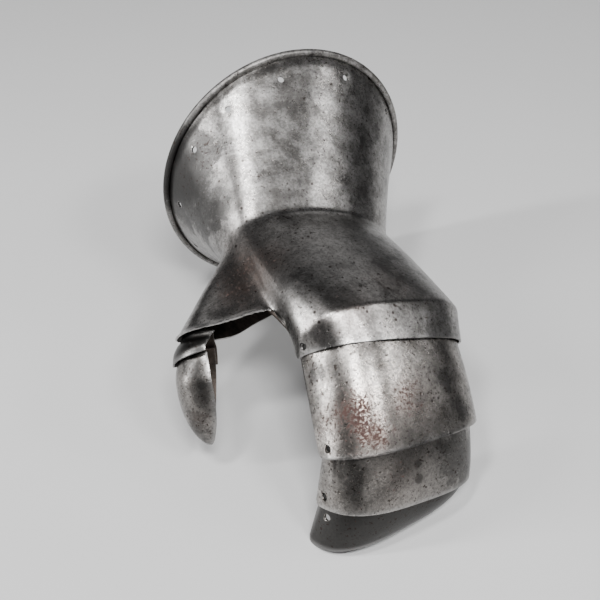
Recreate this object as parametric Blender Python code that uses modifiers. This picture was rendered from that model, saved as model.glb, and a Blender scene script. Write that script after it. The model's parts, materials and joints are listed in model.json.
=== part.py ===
"""Hourglass mitten gauntlet for the left hand.

One flared plate makes the cuff, the wrist, the back of the hand and the thumb flange. Three finger
lames turn on pins at their lower corners, and two thumb lames are riveted inside the thumb flange.

The plates are worked out in the hand's own frame, in millimetres: X to the little finger, Y up the
arm, Z out of the back of the hand, with the centre of the wrist at zero. An empty then lays the
gauntlet on the ground, palm down, as it comes to rest by itself.
"""
from math import asin, cos, inf, pi, radians, sin

import bmesh
import bpy
import numpy as np
from mathutils import Euler, Vector
from mathutils.bvhtree import BVHTree

MM = 0.001
NAME = "mitten_gauntlet"

# --- driving dimensions (mm and degrees) -----------------------------------------------------
PLATE = 1.2                    # thickness of every plate
GAP = 0.7                      # air between a lame and the plate that covers it
REST_PITCH = 11.333            # turn about X that lays the gauntlet down
REST_ROLL = 22.827             # turn about Y that lays it down

WRIST = dict(half_width=56.5, depth=32.0, power=2.2, x=-1.0)
RIM = dict(x=7.0, y=69.0, z=4.5, radius=81.0, tilt=12.2, bead=2.2)
RIDGE_FADE = dict(little=0.10, index=0.30)  # shares of the arch over which the ridge fades
CUFF_HOLLOW = 1.5              # how far the cuff's side bends in from a straight line
# The back of the hand bulges away from a point inside it, most where it faces this angle.
HAND_SWELL = dict(most=2.5, facing_deg=70.0, from_x=2.0, from_z=5.0)
# Degrees of the wrist between an end of the arches and the row of EDGE beside it.
FAN_BEYOND = dict(little=8.0, index=6.0)

CUFF_HOLES = dict(radius=1.9, along=0.845, skew=0.06, skew_deg=30.0, step=0.01)
# Angles around the cuff, from the little finger's side over the back; punched by eye, so uneven.
CUFF_HOLE_DEG = (17.5, 47.0, 81.0, 114.5, 142.5, 167.5, 199.0, 229.0, 258.5, 288.0, 318.0, 347.5)
PIN = dict(hole=2.0, shank=1.55, sunk=0.45, head=3.0, head_thick=1.2, air=0.5)
RIVET = dict(hole=1.6, shank=1.2, head=2.3, head_thick=0.8, air=0.8)
REACH = 40.0                   # how far outside a plate the search for its face starts
CUT_BEYOND = 3.0               # how far a cutter runs past the plates it cuts
SHARP_DEG = 35.0               # edges sharper than this are shaded as edges
MERGE = 0.01                   # points of a turned piece closer than this are one

# Arches across the hand. top: highest point; width: half width; height: full height of the curve;
# power: 2 is an ellipse, more is squarer; lean: tilt of the arch's plane about X; skew: turn of its
# width, index side forward; cut: share of the height left off at the palm.
ARCH_COLUMNS = ("x", "y", "z", "width", "height", "power", "lean", "skew", "cut")
ARCHES = {
    "knuckles": (4.4, -83.1, 48.9, 54.7, 43.8, 3.10, 6.0, 4.5, 0.32),
    "plate_edge": (5.2, -102.6, 41.1, 51.4, 41.3, 2.90, 24.2, 2.7, 0.116),
    "lame_1_edge": (7.7, -151.2, 16.4, 50.3, 39.3, 2.88, 39.9, 11.7, 0.21),
    "lame_2_edge": (9.5, -171.4, -10.3, 47.3, 39.1, 3.08, 52.0, 12.0, 0.19),
    "lame_3_edge": (9.4, -175.0, -29.4, 46.8, 31.4, 2.96, 58.3, 23.9, 0.12),
}

# Hinge pins, on the outer face of the index side; each axis runs along its arch's width.
HINGE_COLUMNS = ("x", "y", "z", "arch", "other_x")
HINGES = {
    "hinge_1": (-45.2, -89.2, 17.0, "plate_edge", 56.5),
    "hinge_2": (-42.0, -139.4, -5.4, "lame_1_edge", 57.5),
    "hinge_3": (-37.5, -154.0, -28.0, "lame_2_edge", 54.5),
}
SPARE_HOLE = dict(at=(-34.0, -161.4, -36.8), radius=1.9, reach=6.0)

# Each lame starts under its neighbour, with a hidden band that is an arc about its hinge.
LAME_COLUMNS = ("lame", "over", "own_edge", "hinge", "hidden_deg", "side_band", "swell", "corner")
LAMES = (
    ("finger_lame_1", "main_plate", "lame_1_edge", "hinge_1", 26.0, 9.0, 1.4, 3.0),
    ("finger_lame_2", "finger_lame_1", "lame_2_edge", "hinge_2", 30.0, 6.5, 1.5, 3.0),
    ("finger_lame_3", "finger_lame_2", "lame_3_edge", "hinge_3", 30.0, 7.0, 1.5, 4.0),
)
FULL_BAND = 8.0                # height above the hinge from which the band has its full width

# Thumb: a straight axis from root to tip. In the thumb's frame, along runs to the tip, side to the
# spine of the thumb plates, and out away from the palm.
THUMB_ROOT = (-72.0, -50.0, -28.0)
THUMB_TIP = (-69.0, -93.5, -64.5)
THUMB_SIDE = (-0.8385, 0.333, -0.4314)

# The plate's edge below the back of the hand. A line runs from the wrist, at the angle given, to
# each place, in the hand's or the thumb's frame. The middle ring crosses it at the share given, and
# the line bulges outward there.
EDGE_COLUMNS = ("place", "wrist_deg", "frame", "x", "y", "z", "share", "swell")
EDGE = (
    ("index_wall", 164.0, "hand", -47.6, -76.5, 11.0, 0.82, 1.0),
    ("index_top", 170.0, "hand", -50.9, -67.5, 12.8, 0.76, 1.0),
    ("web", 177.0, "hand", -54.3, -58.5, 9.0, 0.70, 2.0),
    ("thumb_near_1", 184.0, "thumb", -14.5, -24.0, 19.0, 0.60, 2.0),
    ("thumb_near_2", 190.0, "thumb", -10.5, -10.5, 18.2, 0.55, 1.5),
    ("thumb_near_3", 196.0, "thumb", -7.5, 3.5, 18.0, 0.50, 1.0),
    ("thumb_near_4", 202.0, "thumb", -4.0, 14.0, 12.0, 0.50, 1.0),
    ("thumb_spine", 209.0, "thumb", 0.0, 18.4, 1.0, 0.50, 0.5),
    ("thumb_far_1", 217.0, "thumb", 1.5, 14.8, -11.5, 0.50, 1.0),
    ("thumb_far_2", 226.0, "thumb", 1.5, 4.0, -18.8, 0.50, 2.5),
    ("thumb_far_3", 236.0, "thumb", -0.5, -10.5, -20.0, 0.50, 3.0),
    ("thumb_root", 250.0, "hand", -27.0, -28.5, -35.0, 0.50, 2.5),
    ("palm", 275.0, "hand", 8.0, -14.0, -34.5, 0.50, 0.5),
    ("heel", 305.0, "hand", 38.0, -20.0, -30.0, 0.50, 1.0),
    ("little_heel", 328.0, "hand", 56.0, -38.0, -17.0, 0.60, 2.0),
    ("little_wall", 344.0, "hand", 59.0, -68.0, 2.0, 0.75, 2.5),
)

THUMB_COLUMNS = ("along", "radius", "near_deg", "far_deg")
THUMB_LAMES = {
    "thumb_lame_1": (
        (-6.0, 13.6, 110.0, -94.0),
        (0.0, 15.1, 98.5, -96.0),
        (4.0, 17.9, 94.0, -98.0),
        (9.0, 20.0, 90.0, -98.0),
        (15.0, 20.7, 90.5, -98.0),
    ),
    "thumb_lame_2": (
        (5.0, 15.6, 91.0, -96.0),
        (12.0, 17.8, 95.0, -96.0),
        (21.0, 19.1, 99.0, -96.0),
        (30.0, 18.1, 104.0, -96.0),
        (38.0, 16.2, 107.0, -96.0),
        (45.0, 13.5, 110.0, -96.0),
        (51.5, 9.7, 112.0, -94.0),
        (56.0, 5.7, 115.0, -92.0),
        (58.5, 2.2, 118.0, -92.0),
    ),
}
LAME_1_OBLIQUE = 10.7          # how much shorter the first thumb lame is along its near edge
RIVET_COLUMNS = ("along", "angle", "outer", "inner")
THUMB_RIVETS = {
    "thumb_rivet_1": (-2.0, -60.0, "main_plate", "thumb_lame_1"),
    "thumb_rivet_2": (11.8, -60.0, "thumb_lame_1", "thumb_lame_2"),
}

# --- how finely the plates are divided -------------------------------------------------------
ARCH_STEPS = 24                # across the hand
SPAN_STEPS = 3                 # between two rows of EDGE
CUFF_STEPS = 4
HAND_STEPS = 6
BAND_STEPS = 2
HIDDEN_STEPS = 2
LAME_STEPS = 4
THUMB_STEPS = 12
HOLE_SIDES = 10
BEAD_STEPS = dict(around=48, section=6)
# Columns of the main plate that relax, how many of them fade in at each end, and the share of the
# pull that runs lengthways.
WEB = dict(columns=(22, 44), fade_columns=3.0, fade_rows=1.2, times=14, lengthways=0.3)
FINE_STEPS = 400               # for measuring along a curve
SEARCH_STEPS = 9               # between two rows of a covering plate, for measuring its radius
SEARCH_DEG = 3.0               # how far past the hidden band that search goes


# --- curves ----------------------------------------------------------------------------------
def signed_power(value, exponent):
    return np.sign(value) * np.abs(value) ** exponent


def unit(v):
    v = np.asarray(v, float)
    return v / np.linalg.norm(v, axis=-1, keepdims=True)


def run_length(points):
    """Distance run along a line of points, from its start to each of them."""
    return np.concatenate([[0.0], np.cumsum(np.linalg.norm(np.diff(points, axis=0), axis=1))])


def smoothstep(x):
    x = np.clip(x, 0.0, 1.0)
    return x * x * (3.0 - 2.0 * x)


def hermite(start, end, leave, arrive, steps, first=0):
    """Rows of points from start to end, with the given tangents at both ends."""
    rows = []
    for k in range(first, steps + 1):
        t = k / steps
        rows.append((2 * t**3 - 3 * t**2 + 1) * start + (t**3 - 2 * t**2 + t) * leave
                    + (3 * t**2 - 2 * t**3) * end + (t**3 - t**2) * arrive)
    return rows


def closed_curve(points, spans):
    """Centripetal Catmull-Rom curve through points, with spans[k] samples after point k."""
    out = []
    count = len(points)
    for k in range(count):
        p = [points[(k + j - 1) % count] for j in range(4)]
        knots = [0.0]
        for a, b in zip(p, p[1:]):
            knots.append(knots[-1] + max(np.linalg.norm(b - a), 1e-6) ** 0.5)
        for j in range(spans[k]):
            t = knots[1] + (knots[2] - knots[1]) * j / spans[k]

            def mix(a, b, lo, hi):
                return (a * (knots[hi] - t) + b * (t - knots[lo])) / (knots[hi] - knots[lo])

            q = [mix(p[i], p[i + 1], i, i + 1) for i in range(3)]
            r = [mix(q[0], q[1], 0, 2), mix(q[1], q[2], 1, 3)]
            out.append(mix(r[0], r[1], 1, 2))
    return np.array(out)


def row_of(columns, values):
    return dict(zip(columns, values))


def arch_axes(arch):
    """Unit vectors of an arch: across the hand, and up from the palm."""
    lean = radians(arch["lean"])
    skew = radians(arch["skew"])
    forward = np.array([0.0, cos(lean), sin(lean)])
    across = np.array([cos(skew), 0.0, 0.0]) + sin(skew) * forward
    return across, np.array([0.0, -sin(lean), cos(lean)])


def arch_curve(name, steps):
    """Points of an arch from the little finger's side to the index side."""
    arch = row_of(ARCH_COLUMNS, ARCHES[name])
    across, up = arch_axes(arch)
    power = arch["power"]
    end = asin(arch["cut"] ** (power / 2))
    top = np.array([arch["x"], arch["y"], arch["z"]])

    def place(angle):
        side = signed_power(np.cos(angle), 2 / power)[:, None]
        rise = (np.sin(angle) ** (2 / power) - 1)[:, None]
        return top + arch["width"] * side * across + arch["height"] * rise * up

    fine = np.linspace(end, pi - end, FINE_STEPS)
    length = run_length(place(fine))
    return place(np.interp(np.linspace(0, length[-1], steps + 1), length, fine))


def wrist_curve(angle):
    c = signed_power(np.cos(angle), 2 / WRIST["power"])
    s = signed_power(np.sin(angle), 2 / WRIST["power"])
    return np.stack([WRIST["x"] + WRIST["half_width"] * c, 0 * c, WRIST["depth"] * s], -1)


def rim_curve(angle):
    tilt = radians(RIM["tilt"])
    centre = np.array([RIM["x"], RIM["y"], RIM["z"]])
    side = np.cos(angle)[:, None] * np.array([1.0, 0.0, 0.0])
    rise = np.sin(angle)[:, None] * np.array([0.0, sin(tilt), cos(tilt)])
    return centre + RIM["radius"] * (side + rise)


def thumb_frame():
    """Root and the axes along, side and out of the thumb."""
    root = np.array(THUMB_ROOT)
    along = unit(np.array(THUMB_TIP) - root)
    side = np.array(THUMB_SIDE)
    side = unit(side - side.dot(along) * along)
    return root, along, side, np.cross(side, along)


def thumb_point(along, radius, angle):
    root, axis, side, out = thumb_frame()
    turn = radians(angle)
    return root + along * axis + radius * (cos(turn) * side + sin(turn) * out)


def hinge_axis(name):
    """A point on the index side's outer face, the point opposite, and the axis between them."""
    hinge = row_of(HINGE_COLUMNS, HINGES[name])
    across, _ = arch_axes(row_of(ARCH_COLUMNS, ARCHES[hinge["arch"]]))
    near = np.array([hinge["x"], hinge["y"], hinge["z"]])
    far = near + (hinge["other_x"] - hinge["x"]) / across[0] * across
    return near, far, across


# --- plates as grids of points ---------------------------------------------------------------
def edge_points():
    """Places of the EDGE table, in the hand's frame."""
    root, along, side, out = thumb_frame()
    points = []
    for values in EDGE:
        row = row_of(EDGE_COLUMNS, values)
        place = np.array([row["x"], row["y"], row["z"]])
        if row["frame"] == "thumb":
            place = root + place[0] * along + place[1] * side + place[2] * out
        points.append(place)
    return points


def main_grid():
    """Rows of closed rings: rim, cuff, wrist, back of the hand, knuckles, lower edge."""
    rows = [row_of(EDGE_COLUMNS, values) for values in EDGE]
    first = rows[-1]["wrist_deg"] - 360.0 + FAN_BEYOND["little"]
    last = rows[0]["wrist_deg"] - FAN_BEYOND["index"]
    fan = np.linspace(first, last, ARCH_STEPS + 1)
    turn = list(fan) + [row["wrist_deg"] for row in rows]
    places = edge_points()
    lower = list(arch_curve("plate_edge", ARCH_STEPS)) + places
    starts = wrist_curve(np.radians([row["wrist_deg"] for row in rows]))
    middle = list(arch_curve("knuckles", ARCH_STEPS))
    for row, start, place in zip(rows, starts, places):
        outward = np.array([start[0] + place[0], 0.0, start[2] + place[2]])
        middle.append(start + row["share"] * (place - start) + row["swell"] * unit(outward))
    across = np.arange(ARCH_STEPS + 1) / ARCH_STEPS
    crisp = np.zeros(len(turn))
    crisp[:ARCH_STEPS + 1] = np.clip(
        np.minimum(across / RIDGE_FADE["little"], (1 - across) / RIDGE_FADE["index"]), 0, 1)

    spans = [1] * ARCH_STEPS + [SPAN_STEPS] * (len(rows) + 1)
    lower = closed_curve(lower, spans)
    middle = closed_curve(middle, spans)
    turn.append(turn[0] + 360.0)
    crisp = np.append(crisp, crisp[0])
    at = np.concatenate([k + np.arange(n) / n for k, n in enumerate(spans)])
    angle = np.radians(np.interp(at, np.arange(len(turn)), turn))
    crisp = smoothstep(np.interp(at, np.arange(len(crisp)), crisp))[:, None]

    wrist = wrist_curve(angle)
    rim = rim_curve(angle)
    outward = unit(wrist * np.array([1.0, 0.0, 1.0]))
    bend = 4 * CUFF_HOLLOW * outward
    cuff = hermite(rim, wrist, wrist - rim - bend, wrist - rim + bend, CUFF_STEPS)

    to_middle = middle - wrist
    to_lower = lower - middle
    through = unit(unit(to_middle) + unit(to_lower))
    facing = np.clip(np.cos(angle - radians(HAND_SWELL["facing_deg"])), 0, 1)[:, None]
    core = np.array([HAND_SWELL["from_x"], 0.0, HAND_SWELL["from_z"]])
    outward = unit((wrist + middle) * np.array([0.5, 0.0, 0.5]) - core)
    bend = 4 * HAND_SWELL["most"] * facing * outward
    length_1 = np.linalg.norm(to_middle, axis=1)[:, None]
    length_2 = np.linalg.norm(to_lower, axis=1)[:, None]
    arrive = (1 - crisp) * through * length_1 + crisp * (to_middle - bend)
    leave = (1 - crisp) * through * length_2 + crisp * to_lower
    hand = hermite(wrist, middle, to_middle + bend, arrive, HAND_STEPS, first=1)
    band = hermite(middle, lower, leave, to_lower, BAND_STEPS, first=1)
    rings = np.array(cuff + hand + band)
    relax(rings)
    return rings


def relax(rings):
    """Let the web between index finger and thumb settle, most in the middle of its columns."""
    row = np.arange(1, len(rings) - 1)
    column = np.arange(1, rings.shape[1] - 1)
    first, last = WEB["columns"]
    over = smoothstep(np.minimum(column - first, last - column) / WEB["fade_columns"])
    down = smoothstep((row - CUFF_STEPS) / WEB["fade_rows"])
    weight = (down[:, None] * over)[..., None] ** 3
    for _ in range(WEB["times"]):
        lengthways = (rings[:-2, 1:-1] + rings[2:, 1:-1]) / 2
        crossways = (rings[1:-1, :-2] + rings[1:-1, 2:]) / 2
        mean = crossways + WEB["lengthways"] * (lengthways - crossways)
        rings[1:-1, 1:-1] += weight * (mean - rings[1:-1, 1:-1])


def turned(points, centre, axis, angle):
    """Points turned about an axis, each by its own angle."""
    rel = points - centre
    c = np.cos(angle)[:, None]
    s = np.sin(angle)[:, None]
    lift = (rel @ axis)[:, None] * axis
    return centre + rel * c + np.cross(axis, rel) * s + lift * (1 - c)


def about_axis(points, centre, axis):
    """Places along the axis, distances from it and unit directions out from it."""
    along = (points - centre) @ axis
    out = points - centre - along[..., None] * axis
    return along, np.linalg.norm(out, axis=-1), unit(out)


def clear_radius(cover, centre, axis, hidden_deg):
    """Least distance from the axis to each column of a covering plate, over the hidden band."""
    share = np.linspace(0, 1, SEARCH_STEPS)[:, None, None]
    dense = np.concatenate([a + share * (b - a) for a, b in zip(cover, cover[1:])])
    _, radius, out = about_axis(dense, centre, axis)
    angle = np.arccos(np.clip((out * out[-1]).sum(-1), -1, 1))
    near_edge = angle < radians(hidden_deg + SEARCH_DEG)
    return np.where(near_edge, radius, inf).min(0)


def round_corners(grid, radius):
    """Draw the ends of a lame's own edge back along the lame, into rounded corners."""
    length = run_length(grid[-1])
    inside = np.clip(1 - np.minimum(length, length[-1] - length) / radius, 0, 1)
    pull = radius * (1 - np.sqrt(1 - inside ** 2))
    start = grid[-LAME_STEPS - 1]
    shift = pull[:, None] * unit(start - grid[-1])
    for k in range(1, LAME_STEPS + 1):
        grid[k - LAME_STEPS - 1] += shift * k / LAME_STEPS


def finger_grid(row, cover):
    """Rows across one finger lame, from the edge hidden under its cover to its own edge."""
    near, far, axis = hinge_axis(row["hinge"])
    centre = (near + far) / 2
    inset = PLATE + GAP
    edge = cover[-1]
    end = arch_curve(row["own_edge"], ARCH_STEPS)
    along, radius, out = about_axis(edge, centre, axis)
    top = np.argmax(radius)
    height = (edge - centre) @ out[top]
    above = smoothstep(height / FULL_BAND)
    band = clear_radius(cover, centre, axis, row["hidden_deg"])
    radius = radius + above * (np.minimum(band, radius) - radius - inset)
    along = along - inset * along / np.abs(along).max()
    start = centre + along[:, None] * axis + radius[:, None] * out
    back = unit(unit(cover[0, 0] - edge[0]) + unit(cover[0, -1] - edge[-1]))
    slide = row["side_band"] * back * (1 - above)[:, None]
    rows = []
    for k in range(HIDDEN_STEPS, 0, -1):
        share = k / HIDDEN_STEPS
        turn = -radians(row["hidden_deg"]) * share * above
        rows.append(turned(start, centre, axis, turn) + slide * share)
    chord = end - start
    lift = 4 * row["swell"] * about_axis(start, centre, axis)[2] * above[:, None]
    return np.array(rows + hermite(start, end, chord + lift, chord - lift, LAME_STEPS))


def thumb_grid(name):
    rows = []
    table = [row_of(THUMB_COLUMNS, values) for values in THUMB_LAMES[name]]
    for row in table:
        share = (row["along"] - table[0]["along"]) / (table[-1]["along"] - table[0]["along"])
        line = []
        for k in range(THUMB_STEPS + 1):
            angle = row["near_deg"] + (row["far_deg"] - row["near_deg"]) * k / THUMB_STEPS
            back = 0.0
            if name == "thumb_lame_1":
                back = LAME_1_OBLIQUE * share * max(angle, 0.0) / 90.0
            line.append(thumb_point(row["along"] - back, row["radius"], angle))
        rows.append(line)
    return np.array(rows)


# --- Blender objects -------------------------------------------------------------------------
def make_material(name, colour, roughness):
    material = bpy.data.materials.new(name)
    material.use_nodes = True
    shader = material.node_tree.nodes["Principled BSDF"]
    shader.inputs["Base Color"].default_value = (*colour, 1.0)
    shader.inputs["Metallic"].default_value = 1.0
    shader.inputs["Roughness"].default_value = roughness
    return material


def add_object(name, mesh, collection, origin, parent, material=None):
    obj = bpy.data.objects.new(name, mesh)
    collection.objects.link(obj)
    obj.location = Vector(origin) * MM
    obj.parent = parent
    if material:
        mesh.materials.append(material)
    mesh.shade_smooth()
    mesh.set_sharp_from_angle(angle=radians(SHARP_DEG))
    return obj


def plate_mesh(name, grid, closed, origin):
    """Open surface through a grid of points, seen from outside, origin at zero."""
    rows, columns = grid.shape[:2]
    points = (grid.reshape(-1, 3) - np.asarray(origin)) * MM
    wide = columns if closed else columns - 1
    faces = []
    for i in range(rows - 1):
        for j in range(wide):
            k = (j + 1) % columns
            faces.append((i * columns + j, i * columns + k,
                          (i + 1) * columns + k, (i + 1) * columns + j))
    mesh = bpy.data.meshes.new(name)
    mesh.from_pydata([tuple(p) for p in points], [], faces)
    return mesh


def add_plate(name, grid, closed, origin, collection, parent, material):
    plate = add_object(name, plate_mesh(name, grid, closed, origin), collection, origin, parent,
                       material)
    shell = plate.modifiers.new("plate", "SOLIDIFY")
    shell.thickness = PLATE * MM
    shell.offset = -1.0
    shell.use_even_offset = True
    shell.use_quality_normals = True
    return plate


def add_cutter(name, start, end, radius, collection, parent):
    """Cylinder between two points, for cutting a hole."""
    run = Vector(end) - Vector(start)
    mesh = bpy.data.meshes.new(name)
    shape = bmesh.new()
    bmesh.ops.create_cone(shape, cap_ends=True, segments=HOLE_SIDES, radius1=radius * MM,
                          radius2=radius * MM, depth=run.length * MM)
    shape.to_mesh(mesh)
    shape.free()
    cutter = bpy.data.objects.new(name, mesh)
    collection.objects.link(cutter)
    cutter.parent = parent
    cutter.location = (Vector(start) + run / 2) * MM
    cutter.rotation_mode = "QUATERNION"
    cutter.rotation_quaternion = run.to_track_quat("Z", "Y")
    cutter.hide_render = True
    cutter.display_type = "WIRE"
    return cutter


def cut(plate, cutter, operation="DIFFERENCE"):
    step = plate.modifiers.new(cutter.name, "BOOLEAN")
    step.operation = operation
    step.solver = "EXACT"
    step.object = cutter


def add_turned(name, profile, start, direction, collection, parent, material):
    """Solid of revolution about direction. profile: (radius, distance from start), in order."""
    mesh = bpy.data.meshes.new(name)
    points = [(radius * MM, 0.0, height * MM) for radius, height in reversed(profile)]
    mesh.from_pydata(points, [(k, k + 1) for k in range(len(points) - 1)], [])
    turned_piece = add_object(name, mesh, collection, start, parent, material)
    turned_piece.rotation_mode = "QUATERNION"
    turned_piece.rotation_quaternion = Vector(direction).to_track_quat("Z", "Y")
    screw = turned_piece.modifiers.new("turn", "SCREW")
    screw.steps = HOLE_SIDES
    screw.render_steps = HOLE_SIDES
    screw.use_merge_vertices = True
    screw.merge_threshold = MERGE * MM
    return turned_piece


def face_along(plate, point, inward):
    """Where a line into the plate meets its outer face: millimetres past point, and the normal."""
    mesh = plate.data
    corners = [(plate.location + v.co) / MM for v in mesh.vertices]
    tree = BVHTree.FromPolygons(corners, [face.vertices for face in mesh.polygons])
    start = Vector(point) - REACH * Vector(inward)
    _, normal, _, distance = tree.ray_cast(start, Vector(inward))
    return distance - REACH, np.array(normal)


def clear_depth(plate, point, inward, pin):
    """Depth past point at which a pin's flat head clears the plate's slanting inner face."""
    depth, normal = face_along(plate, point, inward)
    cosine = -normal.dot(inward)
    slope = (1 - cosine ** 2) ** 0.5 / cosine
    return depth + PLATE / cosine + pin["head"] * slope + pin["air"]


def add_hinge_pins(number, outer, inner, parts, cutters, frame, material):
    """Sunk pins on both sides of one hinge, and their holes through both plates."""
    near, far, axis = hinge_axis(f"hinge_{number}")
    for side, point, inward in (("index", near, axis), ("little", far, -axis)):
        face, _ = face_along(outer, point, inward)
        seat = clear_depth(inner, point, inward, PIN)
        top = face + PIN["sunk"]
        end = seat + PIN["head_thick"]
        profile = [(0.0, top), (PIN["shank"], top), (PIN["shank"], seat),
                   (PIN["head"], seat), (PIN["head"], end), (0.0, end)]
        add_turned(f"pin_{number}_{side}", profile, point, inward, parts, frame, material)
        cutter = add_cutter(f"cut_hinge_{number}_{side}", point + (face - CUT_BEYOND) * inward,
                            point + (seat + CUT_BEYOND) * inward, PIN["hole"], cutters, frame)
        cut(outer, cutter)
        cut(inner, cutter)


def add_cuff_holes(plate, cutters, frame):
    """Round holes below the rim, where a lining was sewn."""
    angle = np.radians(CUFF_HOLE_DEG)
    wrist = wrist_curve(angle)
    rim = rim_curve(angle)
    lean = np.cos(angle - radians(CUFF_HOLES["skew_deg"]))
    along = CUFF_HOLES["along"] + CUFF_HOLES["skew"] * lean
    points = wrist + (rim - wrist) * along[:, None]
    tangent = rim_curve(angle + CUFF_HOLES["step"]) - rim
    normal = unit(np.cross(rim - wrist, tangent))
    for k, (point, out) in enumerate(zip(points, normal)):
        cutter = add_cutter(f"cut_cuff_{k + 1}", point - CUT_BEYOND * out,
                            point + CUT_BEYOND * out, CUFF_HOLES["radius"], cutters, frame)
        cut(plate, cutter)


def add_rim_bead(plate, cutters, frame):
    """Round bead that the cuff's edge is rolled into."""
    bpy.ops.mesh.primitive_torus_add(major_segments=BEAD_STEPS["around"],
                                     minor_segments=BEAD_STEPS["section"],
                                     major_radius=RIM["radius"] * MM,
                                     minor_radius=RIM["bead"] * MM)
    bead = bpy.context.active_object
    bead.name = "rim_bead"
    for collection in list(bead.users_collection):
        collection.objects.unlink(bead)
    cutters.objects.link(bead)
    bead.parent = frame
    bead.location = Vector((RIM["x"], RIM["y"], RIM["z"])) * MM
    bead.rotation_euler = (radians(90 - RIM["tilt"]), 0.0, 0.0)
    bead.hide_render = True
    bead.display_type = "WIRE"
    cut(plate, bead, "UNION")


def add_thumb_rivet(name, outer, inner, parts, cutters, frame, material):
    """Plain rivet with a head on both faces, on the side of the thumb that faces the palm."""
    row = row_of(RIVET_COLUMNS, THUMB_RIVETS[name])
    axis = thumb_point(row["along"], 0.0, row["angle"])
    radial = unit(axis - thumb_point(row["along"], 1.0, row["angle"]))
    distance, normal = face_along(outer, axis, radial)
    point = axis + distance * radial
    inward = -normal
    top = -RIVET["air"]
    seat = clear_depth(inner, point, inward, RIVET)
    head = RIVET["head_thick"]
    profile = [(0.0, top - head), (RIVET["head"], top - head), (RIVET["head"], top),
               (RIVET["shank"], top), (RIVET["shank"], seat), (RIVET["head"], seat),
               (RIVET["head"], seat + head), (0.0, seat + head)]
    add_turned(name, profile, point, inward, parts, frame, material)
    cutter = add_cutter(f"cut_{name}", point + (top - CUT_BEYOND) * inward,
                        point + (seat + CUT_BEYOND) * inward, RIVET["hole"], cutters, frame)
    cut(outer, cutter)
    cut(inner, cutter)


def add_spare_hole(plate, cutters, frame):
    _, _, axis = hinge_axis("hinge_3")
    point = np.array(SPARE_HOLE["at"])
    cutter = add_cutter("cut_spare", point - SPARE_HOLE["reach"] * axis,
                        point + SPARE_HOLE["reach"] * axis, SPARE_HOLE["radius"], cutters, frame)
    cut(plate, cutter)


def lay_down(frame, parts):
    """Put the lowest point on the ground and the middle of the bounding box over the origin."""
    bpy.context.view_layer.update()
    depsgraph = bpy.context.evaluated_depsgraph_get()
    low = Vector((inf, inf, inf))
    high = -low
    for obj in parts.objects:
        if obj.type != "MESH":
            continue
        evaluated = obj.evaluated_get(depsgraph)
        for vertex in evaluated.to_mesh().vertices:
            point = obj.matrix_world @ vertex.co
            low = Vector(map(min, low, point))
            high = Vector(map(max, high, point))
        evaluated.to_mesh_clear()
    middle = (low + high) / 2
    frame.location = (-middle.x, -middle.y, -low.z)
    bpy.context.view_layer.update()


def main():
    for obj in list(bpy.data.objects):
        bpy.data.objects.remove(obj, do_unlink=True)
    scene = bpy.context.scene
    parts = bpy.data.collections.new(NAME)
    cutters = bpy.data.collections.new("cutters")
    scene.collection.children.link(parts)
    scene.collection.children.link(cutters)
    frame = bpy.data.objects.new("hand_frame", None)
    frame.rotation_euler = Euler((radians(REST_PITCH), radians(REST_ROLL), 0.0))
    parts.objects.link(frame)

    plate_steel = make_material("plate_steel", (0.36, 0.35, 0.34), 0.42)
    lame_steel = make_material("lame_steel", (0.30, 0.29, 0.28), 0.45)
    pin_steel = make_material("pin_steel", (0.16, 0.13, 0.11), 0.6)

    main_plate = main_grid()
    plates = {"main_plate": add_plate("main_plate", main_plate, True, (0, 0, 0), parts, frame,
                                      plate_steel)}
    cover = main_plate[-BAND_STEPS - 1:, :ARCH_STEPS + 1]
    for number, values in enumerate(LAMES, 1):
        row = row_of(LAME_COLUMNS, values)
        grid = finger_grid(row, cover)
        near, far, _ = hinge_axis(row["hinge"])
        next_cover = grid[-LAME_STEPS - 1:].copy()
        round_corners(grid, row["corner"])
        plates[row["lame"]] = add_plate(row["lame"], grid, False, (near + far) / 2, parts, frame,
                                        lame_steel)
        add_hinge_pins(number, plates[row["over"]], plates[row["lame"]], parts, cutters, frame,
                       pin_steel)
        cover = next_cover
    for name in THUMB_LAMES:
        plates[name] = add_plate(name, thumb_grid(name), False, THUMB_ROOT, parts, frame,
                                 lame_steel)
    for name, values in THUMB_RIVETS.items():
        row = row_of(RIVET_COLUMNS, values)
        add_thumb_rivet(name, plates[row["outer"]], plates[row["inner"]], parts, cutters, frame,
                        pin_steel)
    add_spare_hole(plates["finger_lame_3"], cutters, frame)
    add_rim_bead(plates["main_plate"], cutters, frame)
    add_cuff_holes(plates["main_plate"], cutters, frame)
    lay_down(frame, parts)


main()
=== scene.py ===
# %% [markdown]
# # A mitten gauntlet in aged steel
# A mitten gauntlet guards the whole hand with a few large plates. One flared plate is cuff, wrist,
# hand back and thumb flange at once. Three finger lames hang from it, each turning on pins at its
# lower corners, and two short lames follow the thumb.
#
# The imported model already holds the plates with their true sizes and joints. Here each one is made
# again with fine faces, a rolled rim, hammer marks, punched holes and worn steel. The same few
# curves are used, so nothing has to be fitted afterwards.

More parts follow.
